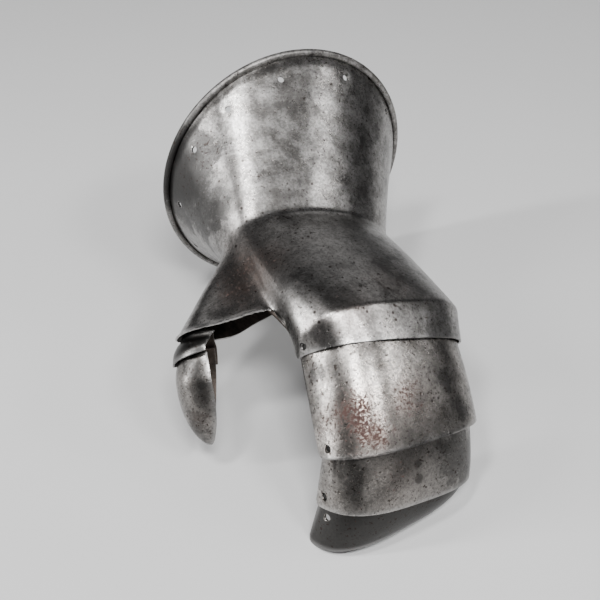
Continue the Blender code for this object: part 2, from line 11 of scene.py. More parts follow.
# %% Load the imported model
import json
from collections import namedtuple
from math import asin, cos, inf, pi, radians, sin
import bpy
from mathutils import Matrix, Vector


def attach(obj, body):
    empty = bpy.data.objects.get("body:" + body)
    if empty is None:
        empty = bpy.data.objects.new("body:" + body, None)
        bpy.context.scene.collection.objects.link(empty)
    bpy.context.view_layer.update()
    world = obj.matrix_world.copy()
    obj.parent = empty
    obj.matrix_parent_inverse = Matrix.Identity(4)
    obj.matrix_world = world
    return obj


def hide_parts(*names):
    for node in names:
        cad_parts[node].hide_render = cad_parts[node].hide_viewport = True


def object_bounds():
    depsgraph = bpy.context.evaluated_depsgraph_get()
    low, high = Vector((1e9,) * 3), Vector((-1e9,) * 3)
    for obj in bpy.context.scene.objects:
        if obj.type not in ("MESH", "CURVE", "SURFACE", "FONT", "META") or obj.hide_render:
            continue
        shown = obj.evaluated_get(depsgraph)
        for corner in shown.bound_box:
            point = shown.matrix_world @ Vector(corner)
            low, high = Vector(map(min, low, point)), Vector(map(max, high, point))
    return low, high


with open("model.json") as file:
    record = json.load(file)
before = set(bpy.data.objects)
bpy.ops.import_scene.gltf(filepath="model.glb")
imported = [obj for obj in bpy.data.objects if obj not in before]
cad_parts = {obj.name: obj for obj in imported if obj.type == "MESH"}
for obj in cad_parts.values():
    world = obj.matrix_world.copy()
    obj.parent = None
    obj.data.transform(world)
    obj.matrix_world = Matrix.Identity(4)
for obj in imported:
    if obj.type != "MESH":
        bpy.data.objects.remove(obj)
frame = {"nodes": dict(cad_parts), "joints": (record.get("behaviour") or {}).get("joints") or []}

from types import SimpleNamespace as Settings

import bpy
import numpy as np
from mathutils import Euler, Vector, noise

cad_low, cad_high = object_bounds()
print("nodes:", sorted(frame["nodes"]))
print("box of the packed model, mm:", [round(1000 * v) for v in cad_high - cad_low])

# %% [markdown]
# ## The hand's own frame
# A gauntlet lies tilted on the table, but it is easier to think of a hand held out straight. So the
# plates are worked out in millimetres in the hand's frame: X to the little finger, Y up the arm, Z
# out of the back of the hand. One rotation and one shift then lay them down. The shift comes from
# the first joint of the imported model, whose place is known in both frames.

# %% Small helpers for curves
MM = 0.001
LAY_DOWN = np.array(Euler((radians(11.333), radians(22.827), 0.0)).to_matrix())


def table(columns, *rows):
    """The rows of a table, each value named by its column."""
    row = namedtuple("row", columns)
    return [row(*values) for values in rows]


def by_name(rows):
    return {row.name: row for row in rows}


def point(row):
    return np.array([row.x, row.y, row.z])


def unit(v):
    v = np.asarray(v, float)
    return v / np.linalg.norm(v, axis=-1, keepdims=True)


def distance(points, place):
    return np.linalg.norm(points - place, axis=-1)


def superellipse(angle, power):
    """Shares across and up, from -1 to 1, at angles around a superellipse."""
    return (np.sign(v) * np.abs(v) ** (2 / power) for v in (np.cos(angle), np.sin(angle)))


def run_length(points):
    """Distance run along a line of points, from its start to each of them."""
    return np.concatenate([[0.0], np.cumsum(distance(points[1:], points[:-1]))])


def smoothstep(x):
    x = np.clip(x, 0.0, 1.0)
    return x * x * (3.0 - 2.0 * x)


def bumps(grid, place, wide):
    """1 at a place on a grid, fading away over the given width."""
    return np.exp(-(distance(grid, place) / wide) ** 2)


def hermite(start, end, leave, arrive, shares):
    """Rows of points from start to end at the given shares, with a tangent for each end."""
    return [(2 * t**3 - 3 * t**2 + 1) * start + (t**3 - 2 * t**2 + t) * leave
            + (3 * t**2 - 2 * t**3) * end + (t**3 - t**2) * arrive for t in shares]


def closer_at_ends(count, squeeze):
    """Shares from 0 to 1 that lie closer together towards both ends."""
    x = np.linspace(0, 1, count + 1)
    return x - squeeze * np.sin(2 * pi * x) / (2 * pi)


def closed_curve(points, spans):
    """Centripetal Catmull-Rom curve through points, with spans[k] samples after point k."""
    points = np.array(points)
    before = np.roll(points, 1, axis=0)
    after = np.roll(points, -1, axis=0)
    gap = np.sqrt(distance(after, points))[:, None]
    gap_before = np.roll(gap, 1, axis=0)
    slope = ((points - before) / gap_before + (after - points) / gap
             - (after - before) / (gap_before + gap))
    curve = []
    for k, span in enumerate(spans):
        leave = gap[k] * slope[k]
        arrive = gap[k] * slope[(k + 1) % len(points)]
        curve += hermite(points[k], after[k], leave, arrive, np.arange(span) / span)
    return np.array(curve)


# %% [markdown]
# ## Arches, wrist and rim
# Every finger plate ends in an arch over the hand: flat on top, round at its two corners. A
# superellipse gives that with one number, its power. The wrist is a smaller one, and the rim of the
# cuff is a tilted circle. All three are plain functions of an angle.

# %% The hand's curves
PLATE = 1.2
GAP = 0.7
WRIST = Settings(half_width=56.5, depth=32.0, power=2.2, x=-1.0)
RIM = Settings(x=7.0, y=69.0, z=4.5, radius=81.0, tilt=12.2, bead=2.2)
ARCHES = by_name(table(
    "name x y z width height power lean skew cut",
    ("knuckles", 4.4, -83.1, 48.9, 54.7, 43.8, 3.1, 6, 4.5, 0.32),
    ("plate_edge", 5.2, -102.6, 41.1, 51.4, 41.3, 2.9, 24.2, 2.7, 0.116),
    ("lame_1_edge", 7.7, -151.2, 16.4, 50.3, 39.3, 2.88, 39.9, 11.7, 0.21),
    ("lame_2_edge", 9.5, -171.4, -10.3, 47.3, 39.1, 3.08, 52, 12, 0.19),
    ("lame_3_edge", 9.4, -175, -29.4, 46.8, 31.4, 2.96, 58.3, 23.9, 0.12),
))
ARCH_STEPS = 96
FINE_STEPS = 1600


def arch_axes(arch):
    """Unit vectors of an arch: across the hand, and up from the palm."""
    lean = radians(arch.lean)
    skew = radians(arch.skew)
    forward = np.array([0.0, cos(lean), sin(lean)])
    across = np.array([cos(skew), 0.0, 0.0]) + sin(skew) * forward
    return across, np.array([0.0, -sin(lean), cos(lean)])


def arch_curve(name, steps):
    """Points of an arch, evenly apart, from the little finger's side to the index side."""
    arch = ARCHES[name]
    across, up = arch_axes(arch)

    def place(angle):
        side, rise = superellipse(angle[:, None], arch.power)
        return point(arch) + arch.width * side * across + arch.height * (rise - 1) * up

    end = asin(arch.cut ** (arch.power / 2))
    fine = np.linspace(end, pi - end, FINE_STEPS)
    length = run_length(place(fine))
    return place(np.interp(np.linspace(0, length[-1], steps + 1), length, fine))


def wrist_curve(angle):
    side, rise = superellipse(angle, WRIST.power)
    return np.stack([WRIST.x + WRIST.half_width * side, 0 * side, WRIST.depth * rise], -1)


def rim_curve(angle):
    tilt = radians(RIM.tilt)
    side = np.cos(angle)[:, None] * np.array([1.0, 0.0, 0.0])
    rise = np.sin(angle)[:, None] * np.array([0.0, sin(tilt), cos(tilt)])
    return point(RIM) + RIM.radius * (side + rise)


for name in ARCHES:
    print(name, "arch is", round(run_length(arch_curve(name, ARCH_STEPS))[-1]), "mm over the hand")

# %% Hinges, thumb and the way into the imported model's frame
HINGES = by_name(table(
    "name x y z arch other_x",
    ("hinge_1", -45.2, -89.2, 17, "plate_edge", 56.5),
    ("hinge_2", -42, -139.4, -5.4, "lame_1_edge", 57.5),
    ("hinge_3", -37.5, -154, -28, "lame_2_edge", 54.5),
))
THUMB_ROOT = np.array([-72.0, -50.0, -28.0])
THUMB_TIP = np.array([-69.0, -93.5, -64.5])
THUMB_SIDE = np.array([-0.8385, 0.333, -0.4314])


def hinge_axis(name):
    """A point on the index side's outer face, the point opposite, and the axis between them."""
    hinge = HINGES[name]
    across, _ = arch_axes(ARCHES[hinge.arch])
    near = point(hinge)
    return near, near + (hinge.other_x - hinge.x) / across[0] * across, across


THUMB_ALONG = unit(THUMB_TIP - THUMB_ROOT)
THUMB_SPINE = unit(THUMB_SIDE - THUMB_SIDE.dot(THUMB_ALONG) * THUMB_ALONG)
THUMB_OUT = np.cross(THUMB_SPINE, THUMB_ALONG)

near, far, _ = hinge_axis("hinge_1")
first_joint = np.array(frame["joints"][0]["pos_m"])
ORIGIN = first_joint - LAY_DOWN @ ((near + far) / 2) * MM


def to_table(points):
    """Points in the hand's frame, in millimetres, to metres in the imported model's frame."""
    return np.asarray(points) @ LAY_DOWN.T * MM + ORIGIN


print("wrist centre lies at, mm:", np.round(ORIGIN / MM, 1))

# %% [markdown]
# ## The main plate
# A smith raises this plate from one sheet: stretched into the cuff, tucked in at the wrist, domed
# over the hand and creased along the knuckles. It could be sculpted, but its form follows a rule.
# Rings of points run around it, from the rim down to the lower edge. Every column is a smooth curve
# through the rim, the wrist, a middle ring and the edge, so a table of edge places is enough.

# %% The lower edge and the rings
EDGE = table(
    "place wrist_deg frame x y z share swell",
    ("index_wall", 164, "hand", -47.6, -76.5, 11, 0.82, 1),
    ("index_top", 170, "hand", -50.9, -67.5, 12.8, 0.76, 1),
    ("web", 177, "hand", -54.3, -58.5, 9, 0.7, 2),
    ("thumb_near_1", 184, "thumb", -14.5, -24, 19, 0.6, 2),
    ("thumb_near_2", 190, "thumb", -10.5, -10.5, 18.2, 0.55, 1.5),
    ("thumb_near_3", 196, "thumb", -7.5, 3.5, 18, 0.5, 1),
    ("thumb_near_4", 202, "thumb", -4, 14, 12, 0.5, 1),
    ("thumb_spine", 209, "thumb", 0, 18.4, 1, 0.5, 0.5),
    ("thumb_far_1", 217, "thumb", 1.5, 14.8, -11.5, 0.5, 1),
    ("thumb_far_2", 226, "thumb", 1.5, 4, -18.8, 0.5, 2.5),
    ("thumb_far_3", 236, "thumb", -0.5, -10.5, -20, 0.5, 3),
    ("thumb_root", 250, "hand", -27, -28.5, -35, 0.5, 2.5),
    ("palm", 275, "hand", 8, -14, -34.5, 0.5, 0.5),
    ("heel", 305, "hand", 38, -20, -30, 0.5, 1),
    ("little_heel", 328, "hand", 56, -38, -17, 0.6, 2),
    ("little_wall", 344, "hand", 59, -68, 2, 0.75, 2.5),
)
FAN_MARGIN_DEG = Settings(first=8.0, last=6.0)
RIDGE_FADE = Settings(little=0.10, index=0.30)
CUFF_HOLLOW = 1.5
HAND_SWELL = 2.5
SWELL_DEG = 70.0
ARCH_CONTROLS = 24
SAMPLES = Settings(arch=4, edge=9, cuff=54, hand=50, band=16)
SQUEEZE = 0.55
HAND_MIDDLE = np.array([2.0, 0.0, 5.0])
# a span bulges by 1 mm when the tangents at its ends bend apart by this many
TO_BEND = 4


def edge_place(row):
    """A row of EDGE in the hand's frame."""
    if row.frame == "hand":
        return point(row)
    return THUMB_ROOT + point(row) @ np.array([THUMB_ALONG, THUMB_SPINE, THUMB_OUT])


def main_grid():
    """Rows of closed rings: rim, cuff, wrist, back of the hand, knuckles, lower edge."""
    fan = np.linspace(EDGE[-1].wrist_deg - 360.0 + FAN_MARGIN_DEG.first,
                      EDGE[0].wrist_deg - FAN_MARGIN_DEG.last, ARCH_CONTROLS + 1)
    turn = list(fan) + [row.wrist_deg for row in EDGE]
    places = [edge_place(row) for row in EDGE]
    lower = list(arch_curve("plate_edge", ARCH_CONTROLS)) + places
    starts = wrist_curve(np.radians([row.wrist_deg for row in EDGE]))
    middle = list(arch_curve("knuckles", ARCH_CONTROLS))
    for row, start, place in zip(EDGE, starts, places):
        outward = np.array([start[0] + place[0], 0.0, start[2] + place[2]])
        middle.append(start + row.share * (place - start) + row.swell * unit(outward))
    across = np.arange(ARCH_CONTROLS + 1) / ARCH_CONTROLS
    crisp = np.zeros(len(turn))
    crisp[:ARCH_CONTROLS + 1] = np.clip(
        np.minimum(across / RIDGE_FADE.little, (1 - across) / RIDGE_FADE.index), 0, 1)

    spans = [SAMPLES.arch] * ARCH_CONTROLS + [SAMPLES.edge] * (len(EDGE) + 1)
    lower = closed_curve(lower, spans)
    middle = closed_curve(middle, spans)
    turn.append(turn[0] + 360.0)
    crisp = np.append(crisp, crisp[0])
    at = np.concatenate([k + np.arange(n) / n for k, n in enumerate(spans)])
    angle = np.radians(np.interp(at, np.arange(len(turn)), turn))
    crisp = smoothstep(np.interp(at, np.arange(len(crisp)), crisp))[:, None]

    wrist = wrist_curve(angle)
    rim = rim_curve(angle)
    outward = unit(wrist * np.array([1.0, 0.0, 1.0]))
    bend = TO_BEND * CUFF_HOLLOW * outward
    cuff = hermite(rim, wrist, wrist - rim - bend, wrist - rim + bend,
                   closer_at_ends(SAMPLES.cuff, SQUEEZE))

    to_middle = middle - wrist
    to_lower = lower - middle
    through = unit(unit(to_middle) + unit(to_lower))
    facing = np.clip(np.cos(angle - radians(SWELL_DEG)), 0, 1)[:, None]
    outward = unit((wrist + middle) * np.array([0.5, 0.0, 0.5]) - HAND_MIDDLE)
    bend = TO_BEND * HAND_SWELL * facing * outward
    arrive = ((1 - crisp) * through * distance(middle, wrist)[:, None]
              + crisp * (to_middle - bend))
    leave = (1 - crisp) * through * distance(lower, middle)[:, None] + crisp * to_lower
    hand = hermite(wrist, middle, to_middle + bend, arrive,
                   closer_at_ends(SAMPLES.hand, SQUEEZE)[1:])
    band = hermite(middle, lower, leave, to_lower, closer_at_ends(SAMPLES.band, SQUEEZE)[1:])
    return np.array(cuff + hand + band), angle


plate_rings, ring_angle = main_grid()
print("main plate:", plate_rings.shape[0], "rings of", plate_rings.shape[1], "points")

# %% [markdown]
# ## Softened creases and a rolled rim
# No hammer leaves a perfectly sharp fold, so the rows beside the wrist and the knuckle ridge are
# averaged a few times, which rounds the fold by a millimetre or two.
#
# The rim is rolled outward, so that it can't cut and the thin sheet stays stiff. The sheet goes up,
# over and back down until its lip nearly meets the cuff, which leaves a dark line under the roll.
# It could be a separate ring, but a few more rows that follow a small circle keep it one sheet.

# %% Soften the creases, roll the rim
WRIST_ROW = SAMPLES.cuff
RIDGE_ROW = SAMPLES.cuff + SAMPLES.hand
WEB = Settings(columns=(ARCH_STEPS - 10, ARCH_STEPS + 68), rows=(WRIST_ROW - 2, RIDGE_ROW + 34),
               fade_columns=30, fade_rows=16, times=300)
CREASES = table("row reach times", (WRIST_ROW, 8, 16), (RIDGE_ROW, 5, 6))
ROLL = Settings(rows=16, from_deg=286.0, wander_deg=7.0, wander_mm=14.0, seed=5.0, neck=9.0)


def soften(grid, row, reach, times):
    """Average rows with the rows beside them, most at the given one."""
    weight = smoothstep(1 - np.abs(np.arange(len(grid)) - row) / reach)[1:-1, None, None]
    for _ in range(times):
        mean = (grid[:-2] + grid[2:]) / 2
        grid[1:-1] += 0.5 * weight * (mean - grid[1:-1])


def window(count, span, fade):
    """1 within a span of the inner rows or columns, fading to 0 at both of its ends."""
    k = np.arange(1, count - 1)
    return smoothstep(np.minimum(k - span[0], span[1] - k) / fade)


def relax(grid, region):
    """Let part of a grid settle: each point there moves towards the mean of its neighbours."""
    down = window(grid.shape[0], region.rows, region.fade_rows)
    over = window(grid.shape[1], region.columns, region.fade_columns)
    weight = ((down[:, None] * over) ** 3)[..., None]
    for _ in range(region.times):
        mean = (grid[:-2, 1:-1] + grid[2:, 1:-1] + grid[1:-1, :-2] + grid[1:-1, 2:]) / 4
        grid[1:-1, 1:-1] += weight * (mean - grid[1:-1, 1:-1])


def wander(points, size, seed):
    """Smooth noise between -1 and 1 at each point; size is the length of one bump."""
    shift = Vector((seed, 2.3 * seed, -1.7 * seed))
    return np.array([noise.noise(Vector(p) / size + shift) for p in points])


def rolled_rim(grid):
    """The rows of the roll, and the cuff with the neck that leads into it."""
    rim = grid[0]
    around = unit(np.roll(rim, -1, axis=0) - np.roll(rim, 1, axis=0))
    up = unit(rim - grid[1])
    out = unit(np.cross(up, around))
    inner = RIM.bead - PLATE
    lip = ROLL.from_deg + ROLL.wander_deg * wander(rim, ROLL.wander_mm, ROLL.seed)
    rows = []
    for k in range(ROLL.rows):
        turn = np.radians(lip * (1 - k / ROLL.rows))[:, None]
        rows.append(rim + inner * (np.sin(turn) * up - np.cos(turn) * out))
    below = distance(grid, rim)[..., None]
    neck = grid - inner * (1 - smoothstep(below / ROLL.neck)) * out
    return np.concatenate([np.array(rows), neck])


relax(plate_rings, WEB)
for crease in CREASES:
    soften(plate_rings, *crease)
arch_cover = plate_rings[-SAMPLES.band - 1:, :ARCH_STEPS + 1].copy()
plate_rows = rolled_rim(plate_rings)
print("with its roll the main plate has", plate_rows.shape[0], "rows")

# %% [markdown]
# ## Finger lames
# Each lame slides under the plate before it when the fingers open, so its hidden part has to be a
# piece of a cylinder around the hinge pins. The rows under the cover are turned about that axis,
# and the rows in view run on to the lame's own arch. The lower corners are rounded off.

# %% Rows of the finger lames
LAMES = table(
    "name own_edge hinge hidden_deg side_band swell corner",
    ("finger_lame_1", "lame_1_edge", "hinge_1", 26, 9, 1.4, 3),
    ("finger_lame_2", "lame_2_edge", "hinge_2", 30, 6.5, 1.5, 3),
    ("finger_lame_3", "lame_3_edge", "hinge_3", 30, 7, 1.5, 4),
)
FULL_BAND = 8.0
HIDDEN_STEPS = 14
LAME_STEPS = 36
LAME_SQUEEZE = 0.3
CLEAR_MORE_DEG = 3.0


def turned(points, centre, axis, angle):
    """Points turned about an axis, each by its own angle."""
    rel = points - centre
    c = np.cos(angle)[:, None]
    s = np.sin(angle)[:, None]
    lift = (rel @ axis)[:, None] * axis
    return centre + rel * c + np.cross(axis, rel) * s + lift * (1 - c)


def about_axis(points, centre, axis):
    """Places along the axis, distances from it and unit directions out from it."""
    along = (points - centre) @ axis
    out = points - centre - along[..., None] * axis
    return along, np.linalg.norm(out, axis=-1), unit(out)


def clear_radius(cover, centre, axis, hidden_deg):
    """Least distance from the axis to each column of a covering plate, over the hidden band."""
    _, radius, out = about_axis(cover, centre, axis)
    angle = np.arccos(np.clip((out * out[-1]).sum(-1), -1, 1))
    near_edge = angle < radians(hidden_deg + CLEAR_MORE_DEG)
    return np.where(near_edge, radius, inf).min(0)


def round_corners(grid, radius):
    """Draw the ends of a lame's own edge back along the lame, into rounded corners."""
    length = run_length(grid[-1])
    inside = np.clip(1 - np.minimum(length, length[-1] - length) / radius, 0, 1)
    pull = radius * (1 - np.sqrt(1 - inside ** 2))
    start = grid[-LAME_STEPS - 1]
    shift = pull[:, None] * unit(start - grid[-1])
    for k in range(1, LAME_STEPS + 1):
        grid[k - LAME_STEPS - 1] += shift * k / LAME_STEPS


def finger_grid(row, cover):
    """Rows across one finger lame, from the edge hidden under its cover to its own edge."""
    near, far, axis = hinge_axis(row.hinge)
    centre = (near + far) / 2
    inset = PLATE + GAP
    edge = cover[-1]
    end = arch_curve(row.own_edge, ARCH_STEPS)
    along, radius, out = about_axis(edge, centre, axis)
    height = (edge - centre) @ out[np.argmax(radius)]
    above = smoothstep(height / FULL_BAND)
    band = clear_radius(cover, centre, axis, row.hidden_deg)
    radius = radius + above * (np.minimum(band, radius) - radius - inset)
    along = along - inset * along / np.abs(along).max()
    start = centre + along[:, None] * axis + radius[:, None] * out
    back = unit(unit(cover[0, 0] - edge[0]) + unit(cover[0, -1] - edge[-1]))
    slide = row.side_band * back * (1 - above)[:, None]
    rows = []
    for k in range(HIDDEN_STEPS, 0, -1):
        share = k / HIDDEN_STEPS
        turn = -radians(row.hidden_deg) * share * above
        rows.append(turned(start, centre, axis, turn) + slide * share)
    chord = end - start
    lift = TO_BEND * row.swell * about_axis(start, centre, axis)[2] * above[:, None]
    shares = closer_at_ends(LAME_STEPS, LAME_SQUEEZE)
    return np.array(rows + hermite(start, end, chord + lift, chord - lift, shares))


lame_grids = {}
cover = arch_cover
for row in LAMES:
    grid = finger_grid(row, cover)
    cover = grid[-LAME_STEPS - 1:].copy()
    round_corners(grid, row.corner)
    lame_grids[row.name] = grid
    print(row.name, "shows", round(distance(grid[-1], grid[HIDDEN_STEPS]).max()),
          "mm below its cover")

# %% [markdown]
# ## Thumb lames
# The thumb plates are half tubes that taper to a blunt tip. A short table gives the radius and the
# two side edges at a few places along the thumb, and a smooth curve runs through each column of it.

# %% Rows of the thumb lames
THUMB_COLUMNS = "along radius near_deg far_deg"
THUMB_LAMES = {
    "thumb_lame_1": (
        (-6, 13.6, 110, -94),
        (0, 15.1, 98.5, -96),
        (4, 17.9, 94, -98),
        (9, 20, 90, -98),
        (15, 20.7, 90.5, -98),
    ),
    "thumb_lame_2": (
        (5, 15.6, 91, -96),
        (12, 17.8, 95, -96),
        (21, 19.1, 99, -96),
        (30, 18.1, 104, -96),
        (38, 16.2, 107, -96),
        (45, 13.5, 110, -96),
        (51.5, 9.7, 112, -94),
        (56, 5.7, 115, -92),
        (58.5, 2.2, 118, -92),
    ),
}
LAME_1_OBLIQUE = 10.7
THUMB_STEPS = Settings(around=48, between=6)


def smooth_table(rows, between):
    """A table's columns at more places, on a smooth curve through its rows."""
    rows = np.array(rows)
    padded = np.vstack([2 * rows[0] - rows[1], rows, 2 * rows[-1] - rows[-2]])
    out = []
    for a, b, c, d in zip(padded, padded[1:], padded[2:], padded[3:]):
        out += hermite(b, c, (c - a) / 2, (d - b) / 2, np.arange(between) / between)
    return table(THUMB_COLUMNS, *out, rows[-1])


def thumb_grid(name):
    lines = smooth_table(THUMB_LAMES[name], THUMB_STEPS.between)
    rows = []
    for line in lines:
        angle = np.linspace(line.near_deg, line.far_deg, THUMB_STEPS.around + 1)
        along = np.full(len(angle), line.along)
        if name == "thumb_lame_1":
            share = (line.along - lines[0].along) / (lines[-1].along - lines[0].along)
            along -= LAME_1_OBLIQUE * share * np.clip(angle, 0, None) / 90.0
        turn = np.radians(angle)[:, None]
        around = np.cos(turn) * THUMB_SPINE + np.sin(turn) * THUMB_OUT
        rows.append(THUMB_ROOT + along[:, None] * THUMB_ALONG + line.radius * around)
    return np.array(rows)


thumb_grids = {name: thumb_grid(name) for name in THUMB_LAMES}
for name, grid in thumb_grids.items():
    print(name, "has", grid.shape[0], "rows of", grid.shape[1], "points")

# %% [markdown]
# ## Dents, dishes and a ragged edge
# Punching a hole pushes the sheet in a little around it, so the cuff is dished at each of its holes.
# The lower edge of the thumb flange was left thin and has become ragged, and it turns out slightly.
# These are all small moves of the grid before it becomes a mesh.

# %% Places of the holes, and the small moves
CUFF_HOLES = Settings(radius=1.9, along=0.845, skew=0.06, skew_deg=30.0)
CUFF_HOLE_DEG = (17.5, 47.0, 81.0, 114.5, 142.5, 167.5, 199.0, 229.0, 258.5, 288.0, 318.0, 347.5)
HINGE_HOLE_RADIUS = 2.0
SPARE_HOLE = Settings(place=(-34.0, -161.4, -36.8), radius=1.9)
DISH = Settings(depth=0.3, wide=3.2)
SMALL_TURN = radians(0.5)
RAGGED = Settings(depth=0.15, thumb_depth=0.55, thumb_flare=0.65, reach=2.6, coarse=2.6, fine=1.1,
                  fine_share=0.6, seed=11.0, from_deg=174, to_deg=216, fade_deg=10)


def cuff_hole_places():
    """Centres of the cuff's holes, and the outward direction at each."""
    angle = np.radians(CUFF_HOLE_DEG)
    wrist = wrist_curve(angle)
    rim = rim_curve(angle)
    lean = np.cos(angle - radians(CUFF_HOLES.skew_deg))
    along = CUFF_HOLES.along + CUFF_HOLES.skew * lean
    places = wrist + (rim - wrist) * along[:, None]
    normal = unit(np.cross(rim - wrist, rim_curve(angle + SMALL_TURN) - rim))
    return places, normal


def ring_normals(grid):
    """Outward direction at each point of a grid of closed rings."""
    over = np.roll(grid, -1, axis=1) - np.roll(grid, 1, axis=1)
    return unit(np.cross(over, np.gradient(grid, axis=0)))


def dish(grid, normals, places):
    """Push the grid in around each place."""
    for place in places:
        grid -= DISH.depth * bumps(grid, place, DISH.wide)[..., None] * normals


def ragged_edge(grid, on_thumb):
    """Make the last row wander along the sheet, more so on the thumb, and turn it out there."""
    normals = ring_normals(grid)
    inward = unit(grid[-2] - grid[-1])
    rough = (wander(grid[-1], RAGGED.coarse, RAGGED.seed)
             + RAGGED.fine_share * wander(grid[-1], RAGGED.fine, RAGGED.seed + 3))
    depth = (RAGGED.depth + RAGGED.thumb_depth * on_thumb) * np.abs(rough)
    share = smoothstep(1 - distance(grid, grid[-1]) / RAGGED.reach)[..., None]
    grid += share * depth[:, None] * inward
    grid += share * (RAGGED.thumb_flare * on_thumb)[:, None] * normals


around_deg = np.degrees(ring_angle) % 360
hole_places, hole_out = cuff_hole_places()
dish(plate_rows[ROLL.rows:], ring_normals(plate_rows)[ROLL.rows:], hole_places)
ragged_edge(plate_rows, smoothstep((around_deg - RAGGED.from_deg) / RAGGED.fade_deg)
            * smoothstep((RAGGED.to_deg - around_deg) / RAGGED.fade_deg))
print("each of the cuff's", len(hole_places), "holes is dished in by", DISH.depth, "mm")

# %% [markdown]
# ## Stains and painted shade
# Old steel isn't one colour. Damp leaves brown spots in patches, grease and soot leave dark ones,
# and where a plate was rubbed smooth its mottling is calm. The dark values are partly such real
# spots and partly painted shade. They darken the whole last finger lame, the upper thumb lame and
# broad parts of the rim, the cuff and the hand back, where shade and dark reflections fall. Where
# each patch lies is fixed on the plate, so it is painted as a number on every point, from a few
# places given as shares across and along a plate. The materials later turn these numbers into
# spots with fine noise.

# %% Paint stain and shade values on the grids
STAIN_AND_SHADE_COLUMNS = "across along wide strong"
# dark rows are partly real dark spots and partly painted shade; the strongest, over whole lames, are
# painted shade
STAINS_AND_SHADE = {
    "main_plate": dict(
        dark=[(0.5, 0.36, 17, 0.8), (0.435, 0.38, 10, 0.7), (0.181, 0.3, 16, 0.12),
              (0.19, 0.37, 10, 0.3), (0.302, 0.26, 9, 0.25), (0.2, 0.76, 30, 0.55),
              (0.545, 0.22, 26, 1.6), (0.52, 0.12, 18, 0.55), (0.54, 0.03, 24, 0.9),
              (0.33, 0.72, 24, 0.35)],
        rust=[(0.488, 0.69, 15, 0.7), (0.488, 0.8, 17, 0.7), (0.381, 0.68, 12, 0.6),
              (0.544, 0.9, 12, 0.35), (0.345, 0.94, 8, 0.25), (0.294, 0.9, 14, 0.4),
              (0.202, 0.79, 14, 0.35)],
        calm=[(0.25, 0.7, 42, 0.75), (0.46, 0.74, 30, 0.75)]),
    "finger_lame_1": dict(
        rust=[(0.79, 0.75, 13, 0.68), (0.76, 0.9, 11, 0.58), (0.81, 0.66, 10, 0.62),
              (0.58, 0.68, 13, 0.7), (0.93, 0.74, 7, 0.4)],
        calm=[(0.5, 0.5, 80, 0.45)],
        dark=[(0.41, 0.6, 9, 0.5), (0.3, 0.86, 9, 0.6), (0.92, 0.45, 6, 0.4)]),
    "finger_lame_2": dict(
        dark=[(0.3, 0.65, 24, 0.95), (0.562, 0.54, 3, 0.9), (0.542, 0.68, 3.2, 0.9)],
        rust=[(0.66, 0.6, 16, 0.3)],
        calm=[(0.6, 0.7, 45, 1.2)]),
    "finger_lame_3": dict(
        # painted shade over the whole last finger lame
        dark=[(0.5, 0.8, 90, 2.2)],
        calm=[(0.5, 0.8, 90, 1.1)]),
    "thumb_lame_1": dict(
        calm=[(0.3, 0.5, 50, 0.9)],
        # painted shade over the upper thumb lame
        dark=[(0.3, 0.4, 16, 1.6), (0.3, 0.85, 16, 0.9)]),
    "thumb_lame_2": dict(
        calm=[(0.3, 0.5, 50, 0.7)],
        dark=[(0.15, 0.12, 12, 0.6), (0.4, 0.12, 12, 0.45), (0.1, 0.3, 3, 0.6),
              (0.19, 0.2, 3, 0.5), (0.3, 0.8, 22, 0.75)],
        rust=[(0.2, 0.6, 7, 0.3)]),
}
EDGE_WEAR = 3.5


def stain_and_shade_values(plate, grid):
    """One value a point for each kind of stain or painted shade on a plate."""
    values = {kind: np.zeros(grid.shape[:2]) for kind in ("dark", "rust", "calm")}
    rows, columns = grid.shape[:2]
    for kind, stains_and_shades in STAINS_AND_SHADE[plate].items():
        for stain in table(STAIN_AND_SHADE_COLUMNS, *stains_and_shades):
            place = grid[int(stain.along * (rows - 1)), int(stain.across * (columns - 1))]
            values[kind] += stain.strong * bumps(grid, place, stain.wide)
    return values


def edge_values(grid, closed):
    """1 on the free edges of a grid, falling to 0 a few millimetres in."""
    low = distance(grid, grid[-1])
    if not closed:
        low = np.minimum(low, np.minimum(distance(grid, grid[:, :1]), distance(grid, grid[:, -1:])))
    return smoothstep(1 - low / EDGE_WEAR)


all_grids = {"main_plate": plate_rows, **lame_grids, **thumb_grids}
for plate, kinds in STAINS_AND_SHADE.items():
    print(plate, "has stains:", {kind: len(stains_and_shades) for kind, stains_and_shades in kinds.items()})

# %% [markdown]
# ## Node trees without the mouse
# Both kinds of tree used below, for geometry and for materials, are built with one small helper. It
# makes a node, sets its options, and fills its inputs with values or with another node's output. A
# socket knows its own tree, so most of the other helpers only need sockets.

# %% Helpers for trees
def add(tree, kind, inputs=(), **options):
    """Add a node and return its outputs. inputs gives its sockets a value or an output each."""
    made = tree.nodes.new(kind)
    for key, value in options.items():
        setattr(made, key, value)
    for key, value in dict(inputs).items():
        if isinstance(value, bpy.types.NodeSocket):
            tree.links.new(value, made.inputs[key])
        else:
            made.inputs[key].default_value = value
    return made.outputs


def maths(operation, *values):
    """A maths node, in the tree of the first value that is a socket."""
    tree = next(value.id_data for value in values if isinstance(value, bpy.types.NodeSocket))
    return add(tree, "ShaderNodeMath", enumerate(values), operation=operation)[0]


def times(first, second):
    return maths("MULTIPLY", first, second)


def weighted(start, *terms):
    """The start plus the product of each (value, weight) pair."""
    for value, weight in terms:
        start = maths("ADD", start, times(value, weight))
    return start


def named(tree, name, kind="FLOAT"):
    """A named attribute in a geometry tree."""
    return add(tree, "GeometryNodeInputNamedAttribute", {"Name": name},
               data_type=kind)["Attribute"]


def mark(geometry, name, domain, chosen=True):
    """Store a 1 under a name on the chosen faces or points."""
    return add(geometry.id_data, "GeometryNodeStoreNamedAttribute", {
        "Geometry": geometry, "Selection": chosen, "Name": name, "Value": 1.0},
        data_type="FLOAT", domain=domain)[0]


def join(first, second):
    both = add(first.id_data, "GeometryNodeJoinGeometry", {"Geometry": first})[0]
    first.id_data.links.new(second, both.node.inputs[0])
    return both


